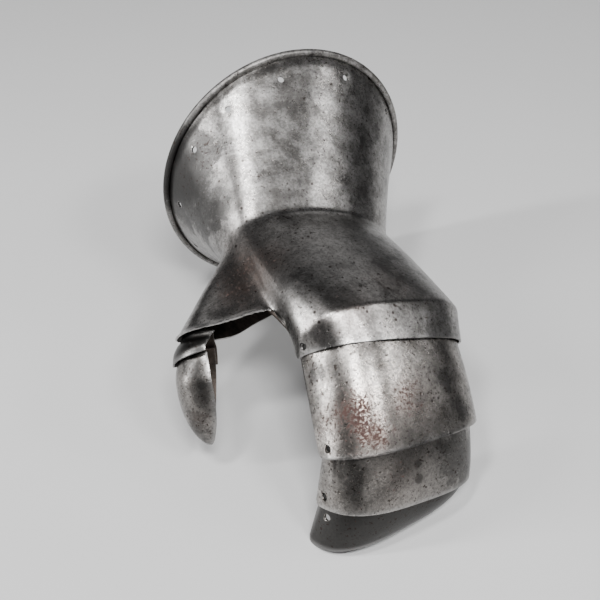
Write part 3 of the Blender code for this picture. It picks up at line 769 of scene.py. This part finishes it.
def new_geometry_tree(name, **sockets):
    """A tree that takes and gives geometry, with inputs named by kind, and a material as the last."""
    tree = bpy.data.node_groups.new(name, "GeometryNodeTree")
    for kind, labels in dict(Geometry=["Geometry"], **sockets, Material=["Material"]).items():
        for label in labels:
            tree.interface.new_socket(label, in_out="INPUT", socket_type=f"NodeSocket{kind}")
    tree.interface.new_socket("Geometry", in_out="OUTPUT", socket_type="NodeSocketGeometry")
    print(name, "takes", sockets)
    return tree, tree.nodes.new("NodeGroupInput").outputs


def finish_tree(geometry, material):
    """Realize Instances and Set Material, the way out, and the tree that is complete with them."""
    tree = geometry.id_data
    real = add(tree, "GeometryNodeRealizeInstances", {0: geometry})[0]
    dressed = add(tree, "GeometryNodeSetMaterial", {"Geometry": real, "Material": material})
    add(tree, "NodeGroupOutput", {0: dressed[0]})
    return tree


def use_tree(obj, tree, values):
    """Put the tree on obj, its inputs set by their identifiers."""
    step = obj.modifiers.new(tree.name, "NODES")
    step.node_group = tree
    for item in tree.interface.items_tree:
        if item.in_out == "INPUT" and item.name in values:
            step[item.identifier] = values[item.name]


def settle(obj):
    """Turn what the modifiers make into the object's own plain mesh."""
    depsgraph = bpy.context.evaluated_depsgraph_get()
    mesh = bpy.data.meshes.new_from_object(obj.evaluated_get(depsgraph), depsgraph=depsgraph)
    obj.modifiers.clear()
    old = obj.data
    obj.data = mesh
    bpy.data.meshes.remove(old)
    mesh.name = obj.name


def link(name, data):
    obj = bpy.data.objects.new(name, data)
    bpy.context.scene.collection.objects.link(obj)
    return obj


def point_values(mesh, name, values, kind="FLOAT"):
    """Store one number, or one vector, for each point of a mesh."""
    attribute = mesh.attributes.new(name, kind, "POINT")
    field = "value" if kind == "FLOAT" else "vector"
    attribute.data.foreach_set(field, np.asarray(values, np.float32).ravel())


def point_mesh(name, places, axes, **numbers):
    """An object of loose points, each with an axis and further numbers."""
    mesh = bpy.data.meshes.new(name)
    mesh.from_pydata([tuple(place) for place in places], [], [])
    point_values(mesh, "axis", axes, "FLOAT_VECTOR")
    for label, values in numbers.items():
        point_values(mesh, label, values)
    return link(name, mesh)

# %% [markdown]
# ## Aged steel
# Bare steel is a metal, so the colour sits in its reflection. What makes it old is unevenness:
# cloudy grey tarnish over centimetres, mottled polish over millimetres, dark pits the size of a pin
# prick, brown spots where it rusts, and faint scratches. Each is a noise on Object coordinates.
# Painted values push the tarnish and the rust up where the patches are, and quiet the mottling
# where the steel is calm. Where the dark values are painted shade, the tarnish layers paint that
# shade into the colour. Inner faces and hole walls are painted dark, which is painted shade, and the
# rolled rim is duller than the plates. Roughness and a fine bump follow the same noises, so a rusty
# spot is also a dull one and a pit is really a little lower.

# %% The steel material
def noise_node(where, size, detail, roughness=0.55):
    """Noise whose features are about size metres long."""
    return add(where.id_data, "ShaderNodeTexNoise", {
        "Vector": where, "Scale": 1 / size, "Detail": detail, "Roughness": roughness})["Fac"]


def ramp(value, low, high):
    """0 below low and 1 above high, smooth between."""
    return add(value.id_data, "ShaderNodeMapRange", {
        "Value": value, "From Min": low, "From Max": high}, interpolation_type="SMOOTHSTEP",
        clamp=True)["Result"]


def blend(share, first, second):
    """Mix two colours."""
    return add(share.id_data, "ShaderNodeMix", {0: share, 6: first, 7: second},
               data_type="RGBA")[2]


def grey(level, warmth=0.0):
    return (level * (1 + warmth), level, level * (1 - warmth), 1.0)


def dots(where, spacing, widest, share):
    """Round dots of uneven size: spacing apart, up to widest across, in this share of the cells."""
    cell = add(where.id_data, "ShaderNodeTexVoronoi", {
        "Vector": where, "Scale": 1 / spacing, "Randomness": 1.0})
    chance = add(where.id_data, "ShaderNodeSeparateColor", {0: cell["Color"]})[0]
    size = times(ramp(chance, 1 - share, 1.0), 0.5 * widest / spacing)
    return ramp(times(maths("SUBTRACT", size, cell["Distance"]), spacing / widest), -0.12, 0.12)


def new_material(name):
    """A material, its shader's inputs and Object coordinates to lay its noises on."""
    material = bpy.data.materials.new(name)
    material.use_nodes = True
    tree = material.node_tree
    where = add(tree, "ShaderNodeTexCoord")["Object"]
    return material, tree.nodes["Principled BSDF"].inputs, where


BARE = dict(scratch=grey(0.60), edge=grey(0.50, 0.01))
# the cloudy, deep and crusty layers follow the dark values, so they paint tarnish and, where those
# values are painted shade, painted shade too
TARNISH_AND_SHADE = dict(fine=grey(0.07, 0.02), cloudy=grey(0.075, 0.02), deep=grey(0.04, 0.02),
               crusty=grey(0.03, 0.03))
RUST = dict(stain=(0.135, 0.084, 0.063, 1.0), pits=(0.03, 0.022, 0.019, 1.0),
            spots=(0.045, 0.014, 0.0095, 1.0))
# near-black browns for the inner faces and hole walls: painted shade
INNER_SHADE = ((0.022, 0.017, 0.014, 1.0), (0.080, 0.060, 0.048, 1.0))


def aged_steel(name, bright, dull, tarnish, rust_amount, roughness, pitted):
    material, shader, where = new_material(name)
    tree = where.id_data
    paint = {label: add(tree, "ShaderNodeAttribute", attribute_name=label)["Fac"]
             for label in ("dark", "rust", "calm", "edge", "roll", "inside", "hidden")}
    # inner faces and hole walls out of sight, where shade is painted into the colour
    inside = times(paint["inside"], paint["hidden"])
    lively = weighted(1.0, (paint["calm"], -0.75))

    cloud = noise_node(where, 0.034, 4.0, 0.6)
    patch = noise_node(where, 0.016, 9.0, 0.74)
    mottle = noise_node(where, 0.009, 8.0, 0.72)
    crumb = noise_node(where, 0.0019, 3.0, 0.6)
    grain = noise_node(where, 0.0016, 4.0, 0.7)
    speck = noise_node(where, 0.0014, 5.0, 0.70)
    stretched = add(tree, "ShaderNodeMapping", {
        "Vector": where, "Rotation": (0.35, 0.5, 0.8), "Scale": (0.07, 1.0, 1.0)})[0]
    scratch = noise_node(stretched, 0.0011, 3.0, 0.5)

    uneven = times(weighted(-0.5, (cloud, 0.4), (patch, 0.6)), lively)
    mottle = weighted(0.5, (maths("SUBTRACT", mottle, 0.5), lively))
    # dark, cloudy, deep and crusty carry the painted dark values: tarnish, and painted shade where
    # those values are shade
    dark = weighted(0.5 + tarnish, (uneven, 1.0), (paint["dark"], 0.14))
    cloudy = maths("MAXIMUM", ramp(dark, 0.46, 0.67), maths("MINIMUM", paint["dark"], 1.0))
    # deep only reaches where the dark values pass 1: painted shade over the last finger lame and the
    # upper thumb lame, and a dark blotch on the cuff
    deep = ramp(weighted(paint["dark"], (uneven, 2.0)), 1.0, 1.8)
    pits = ramp(weighted(crumb, (uneven, 0.55)), pitted, pitted + 0.05)
    for spacing, widest, share in ((0.0050, 0.0019, 0.30), (0.0023, 0.0010, 0.45)):
        pits = maths("MAXIMUM", pits, dots(where, spacing, widest, share))
    rust = ramp(weighted(0.0, (speck, 0.7), (mottle, 0.3), (paint["rust"], rust_amount)),
                0.60, 0.645)

    tone = blend(ramp(mottle, 0.38, 0.62), dull, bright)
    for share, strength, colour in (
            (ramp(grain, 0.44, 0.60), 0.50, TARNISH_AND_SHADE["fine"]),
            (cloudy, 0.75, TARNISH_AND_SHADE["cloudy"]),
            (deep, 0.70, TARNISH_AND_SHADE["deep"]),
            (ramp(dark, 0.575, 0.605), 0.50, TARNISH_AND_SHADE["crusty"]),
            (times(ramp(scratch, 0.62, 0.72), weighted(1.0, (deep, -1.0))), 0.15, BARE["scratch"]),
            (times(paint["rust"], ramp(mottle, 0.35, 0.65)), 0.85, RUST["stain"]),
            (pits, 0.85, RUST["pits"]),
            (rust, 0.90, RUST["spots"]),
            (paint["edge"], 0.30, BARE["edge"]),
            (inside, 0.90, blend(ramp(mottle, 0.36, 0.62), *INNER_SHADE))):
        tone = blend(times(share, strength), tone, colour)
    rough = weighted(roughness, (grain, 0.10), (mottle, 0.14), (cloudy, 0.09), (rust, 0.50),
                     (inside, 0.25), (paint["roll"], 0.22))
    height = weighted(0.0, (grain, 0.25), (pits, -0.25), (mottle, 0.9), (scratch, 0.12))
    bump = add(tree, "ShaderNodeBump", {"Height": height, "Strength": 0.5, "Distance": 0.00025})
    for label, socket in (("Base Color", tone), ("Roughness", rough), ("Normal", bump[0]),
                          ("Metallic", weighted(1.0, (rust, -0.90)))):
        tree.links.new(socket, shader[label])
    return material


FINISHES = {row.name: aged_steel(*row) for row in table(
    "name bright dull tarnish rust_amount roughness pitted",
    ("plate_steel", grey(0.40, 0.03), grey(0.19, 0.05), 0.0, 0.03, 0.16, 0.62),
    ("lame_steel", grey(0.40, 0.06), grey(0.18, 0.085), 0.01, 0.14, 0.15, 0.60),
    # pins and rivets: near-black steel, dark old metal with painted shade for the holes they sit in
    ("pin_steel", grey(0.022, 0.05), grey(0.012, 0.08), 0.10, 0.10, 0.50, 0.60),
)}
print("materials:", list(FINISHES))

# %% [markdown]
# ## A tree for hammered sheet
# Every plate is the same sheet, worked with the same hammer. So one Geometry Nodes tree takes the
# outer face of any plate, adds the shallow marks of the planishing hammer along its normals, and
# gives it a wall on the inner side. Extrude Mesh moves a copy of the faces inward and makes the
# side strip, the copy is turned round, and both halves are welded along their edge.

# %% Build the sheet tree
def build_sheet_tree():
    tree, given = new_geometry_tree(
        "hammered_sheet", Float=["Thickness", "Mark depth", "Mark size", "Seed"])
    marks = add(tree, "ShaderNodeTexNoise", {
        "W": given["Seed"], "Scale": maths("DIVIDE", 1.0, given["Mark size"]),
        "Detail": 1.5}, noise_dimensions="4D")["Fac"]
    push = times(times(maths("SUBTRACT", marks, 0.5), given["Mark depth"]), named(tree, "worked"))
    normal = add(tree, "GeometryNodeInputNormal")[0]
    shift = add(tree, "ShaderNodeVectorMath", {0: normal, "Scale": push}, operation="SCALE")
    outer = add(tree, "GeometryNodeSetPosition", {
        "Geometry": given["Geometry"], "Offset": shift[0]})[0]
    wall = add(tree, "GeometryNodeExtrudeMesh", {
        "Mesh": outer, "Offset Scale": times(given["Thickness"], -1.0),
        "Individual": False}, mode="FACES")
    # the inner faces are marked inside; the material paints shade on them
    marked = mark(wall["Mesh"], "inside", "FACE", wall["Top"])
    inner = add(tree, "GeometryNodeFlipFaces", {"Mesh": marked})[0]
    welded = add(tree, "GeometryNodeMergeByDistance", {
        "Geometry": join(outer, inner), "Distance": 1e-6})[0]
    return finish_tree(welded, given["Material"])


sheet_tree = build_sheet_tree()

# %% [markdown]
# ## A tree for punched holes
# A punch leaves a round hole with a slightly worn mouth. The tree sets a cylinder and a short cone
# on every point of a small helper object, turned along that point's own direction, and cuts them
# out of the plate. The walls of a hole are marked as inside, so that the material paints shade on
# them as on the inner faces. Adding a hole then only means adding a point.

# %% Build the punch tree
MOUTH_SUNK = 0.35


def rod_mesh(sides, depth):
    return add(sides.id_data, "GeometryNodeMeshCylinder", {
        "Vertices": sides, "Radius": 1.0, "Depth": depth})["Mesh"]


def set_on_points(points, instance, tall):
    """Instances on points, along each point's axis and as wide as the point says."""
    tree = points.id_data
    turn = add(tree, "FunctionNodeAlignRotationToVector", {
        "Vector": named(tree, "axis", "FLOAT_VECTOR")}, axis="Z")[0]
    wide = named(tree, "wide")
    scale = add(tree, "ShaderNodeCombineXYZ", {0: wide, 1: wide, 2: tall})[0]
    placed = add(tree, "GeometryNodeInstanceOnPoints", {
        "Points": points, "Instance": instance, "Rotation": turn, "Scale": scale})[0]
    return add(tree, "GeometryNodeRealizeInstances", {0: placed})[0]


def build_punch_tree():
    tree, given = new_geometry_tree("punched_holes", Object=["Places"], Int=["Sides"],
                                    Float=["Depth", "Mouth", "Mouth depth"])
    points = add(tree, "GeometryNodeObjectInfo", {"Object": given["Places"]})["Geometry"]
    mouth = add(tree, "GeometryNodeMeshCone", {
        "Vertices": given["Sides"], "Radius Top": 1.0, "Radius Bottom": given["Mouth"],
        "Depth": given["Mouth depth"]})["Mesh"]
    down = add(tree, "ShaderNodeCombineXYZ", {2: times(given["Mouth depth"], -MOUTH_SUNK)})
    lowered = add(tree, "GeometryNodeTransform", {"Geometry": mouth, "Translation": down[0]})[0]
    plate = given["Geometry"]
    for cutter, tall in ((rod_mesh(given["Sides"], given["Depth"]), 1.0), (lowered, MM)):
        # hole walls are marked inside and hidden, so the material paints shade on them
        cutters = mark(set_on_points(points, cutter, tall), "inside", "FACE")
        plate = add(tree, "GeometryNodeMeshBoolean", {
            "Mesh 1": plate, "Mesh 2": mark(cutters, "hidden", "POINT")},
            operation="DIFFERENCE", solver="EXACT")["Mesh"]
    return finish_tree(plate, given["Material"])


punch_tree = build_punch_tree()

# %% [markdown]
# ## Where the pins and rivets are
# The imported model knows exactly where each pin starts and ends. Its extent along its own axis gives
# the length, so the fine pins sit where the coarse ones do.

# %% Measure the pins
# a head or a peened end is given by its radius and its thickness
PIN = Settings(shank=1.55, peened=(1.55, 0.3), head=(3.0, 1.2), sunk=0.45)
RIVET = Settings(shank=1.2, head=(2.3, 0.8))


def extent(node, axis):
    """Start and end of a CAD node along an axis through its middle, in metres."""
    corners = np.array([v.co for v in frame["nodes"][node].data.vertices])
    run = corners @ axis
    middle = (corners.max(0) + corners.min(0)) / 2
    line = middle - (middle @ axis) * axis
    return line + run.min() * axis, line + run.max() * axis


def main_axis(node):
    """Direction of a turned CAD node: of its sides' normals, none has a part along it."""
    total = np.zeros((3, 3))
    for face in frame["nodes"][node].data.polygons:
        total += face.area * np.outer(face.normal, face.normal)
    values, vectors = np.linalg.eigh(total)
    alone = 0 if values[1] - values[0] > values[2] - values[1] else 2
    return vectors[:, alone]


def pin_line(name):
    """A pin's outer end, its inner end and its direction, from outside to inside."""
    number, side = name.split("_")[1:]
    axis = LAY_DOWN @ hinge_axis(f"hinge_{number}")[2] * (1 if side == "index" else -1)
    return (*extent(name, axis), axis)


def rivet_line(name):
    """The same for a thumb rivet, which starts at the end farther from the thumb."""
    axis = main_axis(name)
    start, end = extent(name, axis)
    centre = to_table(THUMB_ROOT + 10 * THUMB_ALONG)
    if distance(end, centre) > distance(start, centre):
        return end, start, -axis
    return start, end, axis


pins = {name: pin_line(name) for name in frame["nodes"] if name.startswith("pin_")}
rivets = {name: rivet_line(name) for name in frame["nodes"] if name.startswith("thumb_rivet")}
for name, (start, end, _) in sorted({**pins, **rivets}.items()):
    print(name, "is", round(distance(start, end) / MM, 2), "mm long")

# %% [markdown]
# ## From grids to plates
# Each grid becomes a mesh of quads in its place on the table, carrying its painted values. The
# sheet tree gives it marks and a wall, a small Bevel takes the edge off it, as wear does, and the
# punch tree makes its holes. What comes out is one plain closed mesh for each plate, and the little
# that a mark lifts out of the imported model's box is worn flat.

# %% Make the plates
SHEET = Settings(mark_depth=0.55, mark_size=13.0, edge_round=0.32)
PUNCH = Settings(sides=30, depth=14.0, mouth=1.3, mouth_depth=0.6, rivet_play=0.4)
LAME_MARKS = 0.6
THUMB_MARKS = 0.4
# the last number is the rows under the roll over which the painted shade of the inner faces fades in
FREE_ROWS = Settings(marks=8, cover=4, soot=3)
BEVEL_FROM_DEG = 60
SHARP_FROM_DEG = 50


def grid_mesh(name, grid, closed):
    """Quads through a grid's points, on the table; a closed grid's last column meets its first."""
    places = to_table(grid.reshape(-1, 3)).tolist()
    number = np.arange(len(places)).reshape(grid.shape[:2])
    if closed:
        number = np.hstack([number, number[:, :1]])
    corners = (number[:-1, :-1], number[:-1, 1:], number[1:, 1:], number[1:, :-1])
    mesh = bpy.data.meshes.new(name)
    mesh.from_pydata(places, [], np.stack(corners, -1).reshape(-1, 4).tolist())
    return mesh


def keep_in_box(obj):
    """Wear flat the little that a mark or a bulge lifts out of the CAD box."""
    points = np.empty(3 * len(obj.data.vertices))
    obj.data.vertices.foreach_get("co", points)
    kept = np.clip(points.reshape(-1, 3), cad_low, cad_high).ravel()
    obj.data.vertices.foreach_set("co", kept)
    print(obj.name, "is worn flat by at most", round(np.abs(kept - points).max() / MM, 2), "mm")


def smooth_faces(obj):
    obj.data.shade_smooth()
    obj.data.set_sharp_from_angle(angle=radians(SHARP_FROM_DEG))
    print(obj.name, "has", len(obj.data.polygons), "faces")


def paints_of(name, grid):
    """How strongly the hammer worked, where painted shade may lie on inner faces, and where the roll
    is.
    """
    down = np.arange(len(grid))[:, None]
    paints = dict(worked=THUMB_MARKS, hidden=1.0, roll=0.0)
    if name == "main_plate":
        down = down - ROLL.rows
        paints = dict(worked=smoothstep(down / FREE_ROWS.marks),
                      hidden=smoothstep(down / FREE_ROWS.soot), roll=down < -1)
    elif name in lame_grids:
        paints["worked"] = LAME_MARKS * smoothstep((down - FREE_ROWS.cover) / HIDDEN_STEPS)
    return paints


def make_plate(row, grid):
    """A plate from its outer face. Its holes are rows of place, direction and radius in mm."""
    closed = row.name == "main_plate"
    material = FINISHES[row.finish]
    mesh = grid_mesh(row.name, grid, closed)
    paints = {**stain_and_shade_values(row.name, grid), "edge": edge_values(grid, closed),
              **paints_of(row.name, grid)}
    for kind, values in paints.items():
        point_values(mesh, kind, np.broadcast_to(values, grid.shape[:2]))
    plate = link(f"{row.name}_fine", mesh)
    use_tree(plate, sheet_tree, {
        "Thickness": PLATE * MM, "Mark depth": SHEET.mark_depth * MM,
        "Mark size": SHEET.mark_size * MM, "Seed": row.seed, "Material": material})
    bevel = plate.modifiers.new("worn edge", "BEVEL")
    bevel.width = SHEET.edge_round * MM
    bevel.segments = 2
    bevel.limit_method = "ANGLE"
    bevel.angle_limit = radians(BEVEL_FROM_DEG)
    places, axes, radii = zip(*row.holes)
    helper = point_mesh(f"{row.name}_holes", places, axes, wide=np.multiply(radii, MM))
    use_tree(plate, punch_tree, {
        "Places": helper, "Sides": PUNCH.sides, "Depth": PUNCH.depth * MM,
        "Mouth": PUNCH.mouth, "Mouth depth": PUNCH.mouth_depth, "Material": material})
    settle(plate)
    bpy.data.objects.remove(helper, do_unlink=True)
    keep_in_box(plate)
    smooth_faces(plate)
    return plate


def hinge_holes(number):
    """Both holes of a hinge, with their mouths on the outer plate's face."""
    both = [pins[f"pin_{number}_{side}"] for side in ("index", "little")]
    return [(start - PIN.sunk * MM * axis, axis, HINGE_HOLE_RADIUS) for start, _, axis in both]


cuff_holes = [(place, inward, CUFF_HOLES.radius)
              for place, inward in zip(to_table(hole_places), -hole_out @ LAY_DOWN.T)]
spare_hole = (to_table(SPARE_HOLE.place), LAY_DOWN @ hinge_axis("hinge_3")[2], SPARE_HOLE.radius)
rivet_1, rivet_2 = [(rivets[name][0], rivets[name][2], RIVET.shank + PUNCH.rivet_play)
                    for name in ("thumb_rivet_1", "thumb_rivet_2")]
PLATES = by_name(table(
    "name body finish seed holes",
    ("main_plate", "hand", "plate_steel", 1, cuff_holes + hinge_holes(1) + [rivet_1]),
    ("finger_lame_1", "lame_1", "lame_steel", 2, hinge_holes(1) + hinge_holes(2)),
    ("finger_lame_2", "lame_2", "lame_steel", 3, hinge_holes(2) + hinge_holes(3)),
    ("finger_lame_3", "lame_3", "lame_steel", 4, hinge_holes(3) + [spare_hole]),
    ("thumb_lame_1", "hand", "lame_steel", 7, [rivet_1, rivet_2]),
    ("thumb_lame_2", "hand", "lame_steel", 8, [rivet_2]),
))
plates = {name: make_plate(PLATES[name], grid) for name, grid in all_grids.items()}

# %% [markdown]
# ## Pins and rivets
# A hinge pin is a short rod, peened flat in its hole outside and with a domed head inside. The
# thumb rivets are domed on both faces. One tree sets rods and heads on points, and each point says
# how wide and how tall its rod or head is. The head is a ball pressed flat on one side, which keeps
# it closed and gives a soft rim.

# %% Build the pin tree
HEAD = {"Sides": 28, "Rings": 14, "Rim share": 0.35}
JUST_BELOW = -0.01


def build_pin_tree():
    tree, given = new_geometry_tree("pins_and_heads", Int=["Sides", "Rings"], Float=["Rim share"])
    parted = add(tree, "GeometryNodeSeparateGeometry", {
        "Geometry": given["Geometry"],
        "Selection": maths("GREATER_THAN", named(tree, "head"), 0.5)}, domain="POINT")
    ball = add(tree, "GeometryNodeMeshUVSphere", {
        "Segments": given["Sides"], "Rings": given["Rings"], "Radius": 1.0})["Mesh"]
    place = add(tree, "ShaderNodeSeparateXYZ", {0: add(tree, "GeometryNodeInputPosition")[0]})
    dome = times(place[2], maths("SUBTRACT", 1.0, given["Rim share"]))
    high = times(maths("ADD", dome, given["Rim share"]),
                 maths("GREATER_THAN", place[2], JUST_BELOW))
    flat_below = add(tree, "ShaderNodeCombineXYZ", {0: place[0], 1: place[1], 2: high})
    pressed = add(tree, "GeometryNodeSetPosition", {
        "Geometry": ball, "Position": flat_below[0]})[0]
    tall = named(tree, "tall")
    both = join(set_on_points(parted["Inverted"], rod_mesh(given["Sides"], 1.0), tall),
                set_on_points(parted["Selection"], pressed, tall))
    return finish_tree(both, given["Material"])


pin_tree = build_pin_tree()


def fastener_points(line, shank, outer, inner):
    """Place, axis, width, height and head or not, of the rod, its outer and its inner end."""
    start, end, axis = line
    first = start + outer[1] * MM * axis
    last = end - inner[1] * MM * axis
    return [((first + last) / 2, axis, shank * MM, distance(first, last), 0.0),
            (first, -axis, outer[0] * MM, outer[1] * MM, 1.0),
            (last, axis, inner[0] * MM, inner[1] * MM, 1.0)]


def make_fasteners(name, nodes):
    """The pins and rivets that one body carries, as one piece."""
    points = []
    for node in nodes:
        if node in pins:
            points += fastener_points(pins[node], PIN.shank, PIN.peened, PIN.head)
        else:
            points += fastener_points(rivets[node], RIVET.shank, RIVET.head, RIVET.head)
    places, axes, wide, tall, head = zip(*points)
    piece = point_mesh(name, places, axes, wide=wide, tall=tall, head=head)
    # the pins' near-black steel holds painted shade
    use_tree(piece, pin_tree, {**HEAD, "Material": FINISHES["pin_steel"]})
    settle(piece)
    smooth_faces(piece)
    return piece


FASTENERS = {
    "hand": ("hand_pins", ["pin_1_index", "pin_1_little", *rivets]),
    "lame_1": ("lame_1_pins", ["pin_2_index", "pin_2_little"]),
    "lame_2": ("lame_2_pins", ["pin_3_index", "pin_3_little"]),
}

# %% [markdown]
# ## Hand the pieces over
# Each piece rides on the body whose plate it is, so it moves with that joint. The part of the
# imported model that it stands for is hidden.

# %% Ride and replace
for name, plate in plates.items():
    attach(plate, PLATES[name].body)
    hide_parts(name)
for body, (name, nodes) in FASTENERS.items():
    piece = make_fasteners(name, nodes)
    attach(piece, body)
    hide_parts(*nodes)

# %% [markdown]
# ## Floor, light and camera
# Polished metal shows the room more than its own colour, so the lights are soft boxes that stand
# where the plates mirror them. Two narrow ones to the left draw the bright bands down the plates'
# corners. Three over the front and the right light the back of the hand, and a weak one low in
# front lights the lames. A wide weak one behind lines the far edge.

# %% The floor
FLOOR_SIZE = 12.0


def make_floor():
    half = FLOOR_SIZE / 2
    mesh = bpy.data.meshes.new("studio_floor")
    mesh.from_pydata([(-half, -half, 0), (half, -half, 0), (half, half, 0), (-half, half, 0)], [],
                     [(0, 1, 2, 3)])
    material, shader, where = new_material("studio_floor")
    tone = blend(noise_node(where, 0.25, 3.0), grey(0.60), grey(0.64))
    where.id_data.links.new(tone, shader["Base Color"])
    shader["Roughness"].default_value = 0.85
    mesh.materials.append(material)
    link("studio_floor", mesh)


make_floor()

# %% Lights and the room
LIGHTS = table(
    "name azimuth elevation distance width height watts",
    ("high_left_box", -77, 68, 1.3, 0.14, 0.26, 8),
    ("left_box", -102, 22, 1.3, 0.11, 1.05, 15),
    ("front_box", -16, 60, 1.3, 0.4, 0.2, 14),
    ("right_box", 26, 50, 1.3, 0.3, 0.14, 6),
    ("right_side_box", 62, 36, 1.3, 0.44, 0.14, 3),
    ("front_low_box", 0, 13, 1.3, 1, 0.22, 0.9),
    ("back_box", 156, 29, 1.6, 2.3, 0.6, 3),
)
AIM = Vector((0.0, 0.02, 0.07))


def stand(obj, target, row):
    """Put obj around the target, turned to it; azimuth 0 is the -Y side and 90 the +X side."""
    a, e = radians(row.azimuth), radians(row.elevation)
    away = Vector((sin(a) * cos(e), -cos(a) * cos(e), sin(e)))
    obj.location = target + row.distance * away
    obj.rotation_euler = away.to_track_quat("Z", "Y").to_euler()


for row in LIGHTS:
    lamp = bpy.data.lights.new(row.name, "AREA")
    lamp.shape = "RECTANGLE"
    lamp.size = row.width
    lamp.size_y = row.height
    lamp.energy = row.watts
    stand(link(row.name, lamp), AIM, row)

room = bpy.data.worlds.new("studio_room")
bpy.context.scene.world = room
room.use_nodes = True
air = room.node_tree.nodes["Background"].inputs
air["Color"].default_value = (0.09, 0.09, 0.095, 1.0)
air["Strength"].default_value = 0.6
print("lights:", [row.name for row in LIGHTS])

# %% The camera
VIEW = Settings(azimuth=-23.92, elevation=42.29, distance=0.64, lens=57.74)
LOOK_AT = Vector((0.0065, 0.0657, 0.0130))
camera = link("camera", bpy.data.cameras.new("camera"))
camera.data.lens = VIEW.lens
stand(camera, LOOK_AT, VIEW)
bpy.context.scene.camera = camera
print("camera height, mm:", round(camera.location.z / MM))
